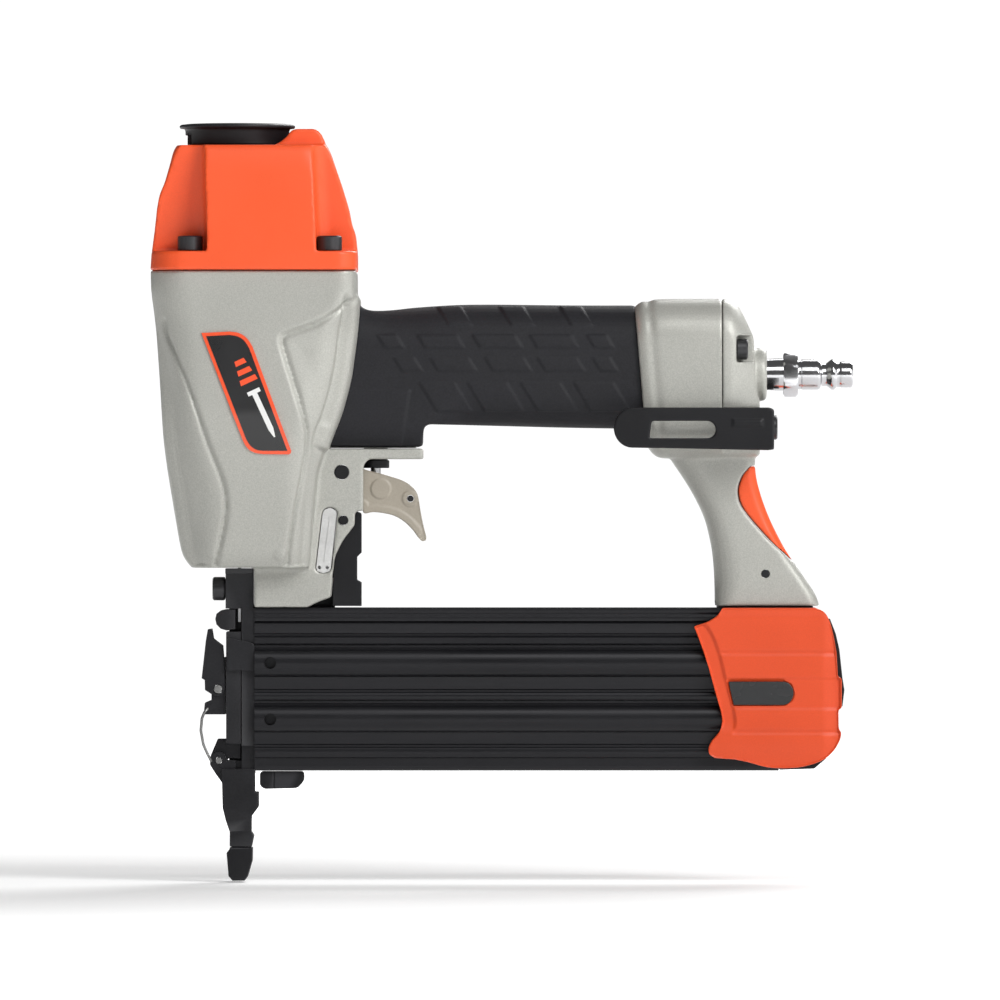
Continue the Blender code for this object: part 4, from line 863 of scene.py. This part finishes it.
def make_trigger():
    t = prism_y("trigger_shell", TRIG, -8.0, 8.0)
    cut(t, prism_y("ti", [(-70.0, 160.0), (-20.0, 160.0), (-20.0, 133.0), (-31.6, 131.0), (-33.6, 131.0), (-38.4, 133.7), (-43.4, 134.5), (-49.0, 134.2), (-54.0, 134.0), (-70.0, 134.0)], -6.3, 6.3))
    remesh(t, 0.3)
    relax(t, 6)
    p, nrm = co_of(t), normals_of(t)
    x, y, z = p.T
    side = smoothstep((np.abs(nrm[:, 1]) - 0.5) / 0.3) * (np.abs(y) > 7.0)
    # finger rest follows the lower curve: shallow dished cheek with a round boss
    boss = np.hypot(x + 43.7, z - 140.9)
    edge = dist_line(x, z, TRIG[-34:-8])
    h = side * (-0.45 * smoothstep((edge - 2.0) / 1.2)) * smoothstep((boss - 3.3) / 0.6)
    rib = np.hypot(x + 33.1, z - 137.4)
    h = h * smoothstep((rib - 2.6) / 0.6)
    p += nrm * h[:, None]
    set_co(t, p)
    relax(t, 1)
    decimate(t, 70000)
    cut(t, cyl_y("tp", -57.7, 146.9, 2.75, -10.0, 10.0, 40))
    cut(t, cyl_y("tq", -33.1, 137.4, 1.3, -10.0, 10.0, 24))
    return dress(t, M_TRIGGER, "trigger", "trigger", angle=48)


# ============================================================ magazine
def rib_profile():
    def arc(cy, cz, ry, rz, a0, a1, n):
        return [(cy + ry * math.cos(math.radians(a0 + (a1 - a0) * k / n)), cz + rz * math.sin(math.radians(a0 + (a1 - a0) * k / n))) for k in range(n + 1)]
    p = [(9.6, 92.9), (10.0, 92.5), (10.0, 89.4), (9.9, 89.0), (9.3, 88.7), (9.3, 88.2), (9.9, 87.9), (10.3, 87.4), (10.3, 85.4), (10.0, 85.0), (9.2, 84.7), (9.2, 83.9), (10.2, 83.5)]
    p += arc(9.4, 78.3, 3.6, 5.1, 78, -78, 16)
    p += [(10.1, 72.9), (10.0, 69.0), (9.5, 68.6), (9.5, 68.0), (10.0, 67.6), (10.3, 67.0), (10.3, 65.6), (10.0, 65.1), (9.2, 64.8), (9.2, 63.9), (10.2, 63.4)]
    p += arc(9.4, 58.3, 3.6, 5.0, 78, -78, 16)
    p += [(10.1, 52.9), (10.0, 49.3), (9.5, 48.9), (9.5, 48.2), (10.0, 47.8), (10.2, 47.2), (10.2, 45.0), (9.9, 44.5), (9.2, 44.2), (9.2, 41.6)]
    p += arc(7.7, 41.1, 1.5, 1.5, 0, -90, 5)
    return p


def make_magazine():
    r = rib_profile()
    m = prism_x("magazine_channel", r + [(-y, z) for y, z in reversed(r)], -89.05, 99.3)
    cut(m, prism_x("mi", [(-7.6, 42.2), (7.6, 42.2), (7.6, 95.0), (-7.6, 95.0)], -92.0, 104.0))
    for z in (78.4, 58.1):
        for s in (-1.0, 1.0):
            y0, y1 = sorted((s * 8.3, s * 15.0))
            cut(m, cyl_y("mh", -83.4, z, 2.15, y0, y1, 32))
    return dress(m, M_ANODISED, "magazine_cover", "magazine_cover", angle=32)


def make_rail():
    r = rounded([(10.0, 93.3), (10.0, 95.0), (9.6, 95.4), (9.6, 96.0), (10.0, 96.4), (10.0, 98.2), (-10.0, 98.2), (-10.0, 96.4), (-9.6, 96.0), (-9.6, 95.4), (-10.0, 95.0), (-10.0, 93.3)], 0.3, 3)
    m = prism_x("magazine_top_rail", r, -89.05, 112.0)
    join(m, box("rw", -88.5, 98.6, -2.1, 2.1, 50.0, 94.0))
    join(m, box("rr", 77.2, 111.6, -9.0, 9.0, 97.0, 98.75))
    cut(m, box("rn", -90.0, 100.0, -0.8, 0.8, 48.0, 90.5))
    return dress(m, M_ANODISED, "tool_body", "magazine_rail", angle=32)


TAIL = [(78.9, 98.2)] + spline([(78.2, 96.8), (76.6, 95.0), (73.1, 93.0), (68.7, 91.6)], 4) + spline([(70.2, 87.9), (72.6, 81.1), (74.6, 74.4), (77.0, 65.7), (78.4, 60.9), (78.8, 57.4), (77.9, 53.9), (74.8, 50.0), (73.9, 47.4), (74.4, 45.6), (76.2, 44.3)], 4) + \
    spline([(83.3, 43.8), (88.1, 42.8), (94.4, 41.1), (100.2, 40.6), (107.4, 41.1), (114.6, 43.3), (118.9, 46.9), (121.2, 50.9), (121.6, 53.4)], 4) + \
    [(120.7, 55.0), (120.6, 61.8), (121.8, 62.2), (121.8, 72.8), (120.4, 73.6)] + spline([(119.9, 82.1), (118.9, 87.9), (117.5, 93.3), (115.6, 96.6), (112.7, 98.2)], 4)
TAIL_BAND = spline([(66.0, 96.0), (73.6, 91.4), (77.6, 83.1), (80.1, 73.1), (83.0, 62.2), (83.6, 55.5), (81.0, 49.0)], 6)


def make_nose_collar():
    """Top of the nose guide, closed against the underside of the housing."""
    c = box("nose_collar", -99.6, -89.6, -9.4, 9.4, 110.4, 112.3)
    cut(c, box("s", DX - 1.5, DX + 1.5, -3.2, 3.2, 100.0, 120.0))
    bevel(c, 0.25, 2, 30.0)
    return dress(c, M_STEEL_BLACK, "tool_body", angle=40)


def make_windows():
    out = [(81.1, 71.75), (100.9, 71.75)] + [(100.6 + 3.9 * math.cos(math.radians(a)), 67.55 + 4.2 * math.sin(math.radians(a))) for a in range(84, -85, -12)] + [(100.9, 63.35), (83.0, 63.35)]
    for side, s in (("left", -1.0), ("right", 1.0)):
        y0, y1 = sorted((s * 15.45, s * 16.2))
        w = prism_y("window_pane_" + side, out, y0, y1)
        bevel(w, 0.2, 2, 30.0)
        dress(w, M_WINDOW, "magazine_cover", "tail_window_" + side, angle=40)


def make_front_block():
    pts = rounded([(-87.2, 39.25), (-71.4, 39.25), (-71.2, 36.0), (-73.6, 33.3), (-85.6, 33.0), (-87.2, 34.2)], 1.2, 4)
    b = prism_y("magazine_catch", pts, -6.5, 6.5)
    cut(b, box("g", -82.5, -81.9, -9.0, -6.1, 30.0, 42.0), box("g2", -82.5, -81.9, 6.1, 9.0, 30.0, 42.0))
    bevel(b, 0.5, 3, 30.0)
    return dress(b, M_BLACK, "tool_body", "magazine_front_block", angle=40)


def make_tail():
    t = prism_y("tail_shell", TAIL, -16.2, 16.2)
    cut(t, box("tci", 60.0, 116.6, -13.3, 13.3, 30.0, 110.0))
    cut(t, box("tcl", 100.0, 130.0, -6.6, 6.6, 58.0, 96.0))
    win = [(80.75, 72.1), (100.9, 72.1), (103.7, 70.6), (104.85, 67.6), (103.7, 64.5), (100.9, 63.0), (82.7, 63.0)]
    for s in (-1.0, 1.0):
        y0, y1 = sorted((s * 15.4, s * 20.0))
        cut(t, prism_y("tw", win, y0, y1))
    remesh(t, 0.45)
    relax(t, 9)
    p, nrm = co_of(t), normals_of(t)
    x, y, z = p.T
    side = smoothstep((np.abs(nrm[:, 1]) - 0.5) / 0.3) * (np.abs(y) > 14.6)
    front = inside(x, z, TAIL_BAND + [(60.0, 49.0), (40.0, 49.0), (40.0, 120.0), (66.0, 120.0)])
    db = dist_line(x, z, TAIL_BAND)
    h = np.zeros(len(p))
    on = smoothstep((z - 52.0) / 6.0)
    h -= side * on * 1.0 * np.where(front, smoothstep((db + 0.1) / 0.6), 0.0)
    # stepped gripping faces across the middle
    step = smoothstep((73.2 - z) / 0.8) * smoothstep((z - 61.5) / 0.8)
    h -= side * 0.5 * step * (~front)
    for zz in (82.0, 53.6):
        h -= side * (~front) * 0.55 * np.exp(-((z - zz) / 0.7) ** 2) * smoothstep((x - 76.0) / 4.0)
    h -= side * 0.8 * smoothstep((z - 94.0) / 4.5) * 0.8
    h -= side * 0.9 * smoothstep((x - 114.5) / 6.5)
    h -= side * 0.8 * smoothstep((50.0 - z) / 8.0)
    p += nrm * h[:, None]
    set_co(t, p)
    relax(t, 2)
    decimate(t, 150000)
    # the tail cover takes the darker orange copy: painted shade
    return dress(t, M_ORANGE_PAINTED_SHADE, "magazine_cover", "tail_cover", angle=50)


# ============================================================ run
make_front()
make_rear()
make_core()
make_slot_strips()
make_leg_pad()
make_cap()
SCREWS = [(-111.8, -27.0), (-111.8, 27.0), (-61.9, -27.0), (-61.9, 27.0)]
for i, (sx, sy) in enumerate(SCREWS):
    socket_screw("cap_bolt_%d" % (i + 1), "z", (sx, sy), 200.0, 226.2, 231.5, 2.5, 4.5, 2.3, 3.0, "tool_body", ("cap_screw_%d" % (i + 1),), M_STEEL_BLACK)
make_deflector()
socket_screw("deflector_bolt", "z", (-95.4, 0.0), 264.6, 271.1, 272.5, 2.2, 4.6, 2.0, 1.0, "tool_body", ("deflector_screw",), M_STEEL_BLACK)
make_grip()
make_end_cap()
for i, sy in enumerate((-14.0, 14.0)):
    socket_screw("rear_bolt_%d" % (i + 1), "x", (sy, 191.0), 68.0, 84.1, 88.1, 1.6, 3.7, 1.8, 2.2, "tool_body", ("end_cap_screw_%d" % (i + 1),), M_STEEL_BLACK)
make_plug()
make_hook()
socket_screw("hook_bolt", "x", (0.0, 163.0), 82.0, 97.4, 99.0, 2.5, 4.4, 2.0, 1.3, "tool_body", ("belt_hook_bolt",), M_STEEL_BLACK)
make_badges()
make_trigger()
make_magazine()
make_rail()
make_nose_collar()
make_front_block()
make_windows()
make_tail()
for i, sy in enumerate((-5.4, 5.4)):
    socket_screw("nose_screw_%d" % (i + 1), "x", (sy, 105.0), -99.8, -99.9, -104.2, 3.6, 4.2, 1.9, 2.4, "tool_body", ("nose_bolt_%d" % (i + 1),), M_STEEL_BLACK)

# ---- CAD nodes that keep their shape: eased edges and a proper surface
KEEP = {
    "leg_pin": (M_STEEL_BLACK, 0.15), "cylinder_sleeve": (M_STEEL, 0.3), "bumper": (M_BUMPER, 0.4), "piston": (M_STEEL_BLACK, 0.4), "driver_blade": (M_STEEL, 0.12),
    "head_valve": (M_BUMPER, 0.4), "head_valve_spring": (M_STEEL, 0.0), "trigger_pin": (M_BLACK, 0.35), "trigger_lever": (M_STEEL, 0.25), "trigger_lever_pin": (M_STEEL_BLACK, 0.2),
    "trigger_valve_body": (M_BLACK, 0.3), "valve_stem": (M_STEEL, 0.3), "contact_rod": (M_STEEL, 0.3), "contact_link": (M_STEEL_BLACK, 0.3), "frame_pin": (M_BLACK, 0.3),
    "depth_bracket": (M_BLACK, 0.35), "depth_wheel": (M_STEEL_BLACK, 0.3), "depth_wheel_pin": (M_STEEL, 0.2), "nose_guide": (M_STEEL_BLACK, 0.3), "latch_catch": (M_STEEL_BLACK, 0.35),
    "guide_side_plate_left": (M_STEEL_BLACK, 0.3), "guide_side_plate_right": (M_STEEL_BLACK, 0.3), "nose_door": (M_STEEL_BLACK, 0.35), "door_pin": (M_PIN, 0.2), "latch_bracket": (M_STEEL_BLACK, 0.3),
    "latch_pin": (M_PIN, 0.25), "latch_lever": (M_STEEL_BLACK, 0.3), "latch_spring_wire": (M_PIN, 0.0), "contact_foot": (M_STEEL_BLACK, 0.3), "no_mar_tip": (M_BLACK, 0.5),
    "tail_block": (M_BLACK, 0.5), "release_lever": (M_BLACK, 0.5),
    "pusher": (M_STEEL, 0.3),
}
for name, (mat, w) in KEEP.items():
    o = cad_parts[name]
    if not o.material_slots:
        o.data.materials.append(mat)
    for sl in o.material_slots:
        sl.material = mat
    o.data.shade_smooth()
    if w:
        bevel(o, w, 3, 32.0)
        wn = o.modifiers.new("wn", "WEIGHTED_NORMAL")
        wn.keep_sharp = True
    else:
        wd = o.modifiers.new("weld", "WELD")
        wd.merge_threshold = 0.00001

# ============================================================ stage, light
def studio_floor():
    """A round pale floor that brightens towards its rim, so that it runs out into the white surround."""
    n = 128
    me = bpy.data.meshes.new("studio_floor")
    me.from_pydata([(4.0 * math.cos(2 * math.pi * i / n), 4.0 * math.sin(2 * math.pi * i / n), -0.0006) for i in range(n)], [], [tuple(range(n))])
    o = bpy.data.objects.new("studio_floor", me)
    COLL.objects.link(o)
    m, nt, b = base_material("studio_white", (0.90, 0.90, 0.90), 0.9)
    geo = nt.nodes.new("ShaderNodeNewGeometry")
    ln = nt.nodes.new("ShaderNodeVectorMath")
    ln.operation = "LENGTH"
    nt.links.new(geo.outputs["Position"], ln.inputs[0])
    mr = nt.nodes.new("ShaderNodeMapRange")
    mr.interpolation_type = "SMOOTHSTEP"
    mr.inputs["From Min"].default_value = 0.25
    mr.inputs["From Max"].default_value = 1.3
    mr.inputs["To Min"].default_value = 0.18
    mr.inputs["To Max"].default_value = 1.0
    nt.links.new(ln.outputs["Value"], mr.inputs["Value"])
    b.inputs["Emission Color"].default_value = (1.0, 1.0, 1.0, 1.0)
    nt.links.new(mr.outputs["Result"], b.inputs["Emission Strength"])
    me.materials.append(m)


studio_floor()


def area(name, loc, target, size, power, size_y=None):
    l = bpy.data.lights.new(name, "AREA")
    l.energy = power
    l.shape = "RECTANGLE"
    l.size = size
    l.size_y = size_y or size
    o = bpy.data.objects.new(name, l)
    COLL.objects.link(o)
    o.location = loc
    o.rotation_euler = (Vector(target) - Vector(loc)).to_track_quat("-Z", "Y").to_euler()
    return o


T = (0.0, 0.0, 0.14)
area("key_right", (1.25, -1.5, 1.25), T, 1.0, 37.0)
area("fill_top", (0.30, -1.9, 2.0), T, 1.0, 11.0)
area("right_soft", (1.7, -0.3, 0.5), T, 0.8, 3.0)
area("key_behind", (0.75, 1.75, 1.35), T, 1.1, 30.0)
area("fill_behind", (0.45, 1.9, 1.9), T, 1.0, 6.0)
w = bpy.data.worlds.new("studio")
w.use_nodes = True
wt = w.node_tree
bg = wt.nodes["Background"]
bg.inputs["Color"].default_value = (1.0, 1.0, 1.0, 1.0)
# the surround is white where it is seen, and a dim soft fill where it lights the tool
lp = wt.nodes.new("ShaderNodeLightPath")
wm = wt.nodes.new("ShaderNodeMapRange")
wm.inputs["To Min"].default_value = 0.10
wm.inputs["To Max"].default_value = 1.05
wt.links.new(lp.outputs["Is Camera Ray"], wm.inputs["Value"])
wt.links.new(wm.outputs["Result"], bg.inputs["Strength"])
bpy.context.scene.world = w
bpy.context.scene.view_settings.view_transform = "Standard"
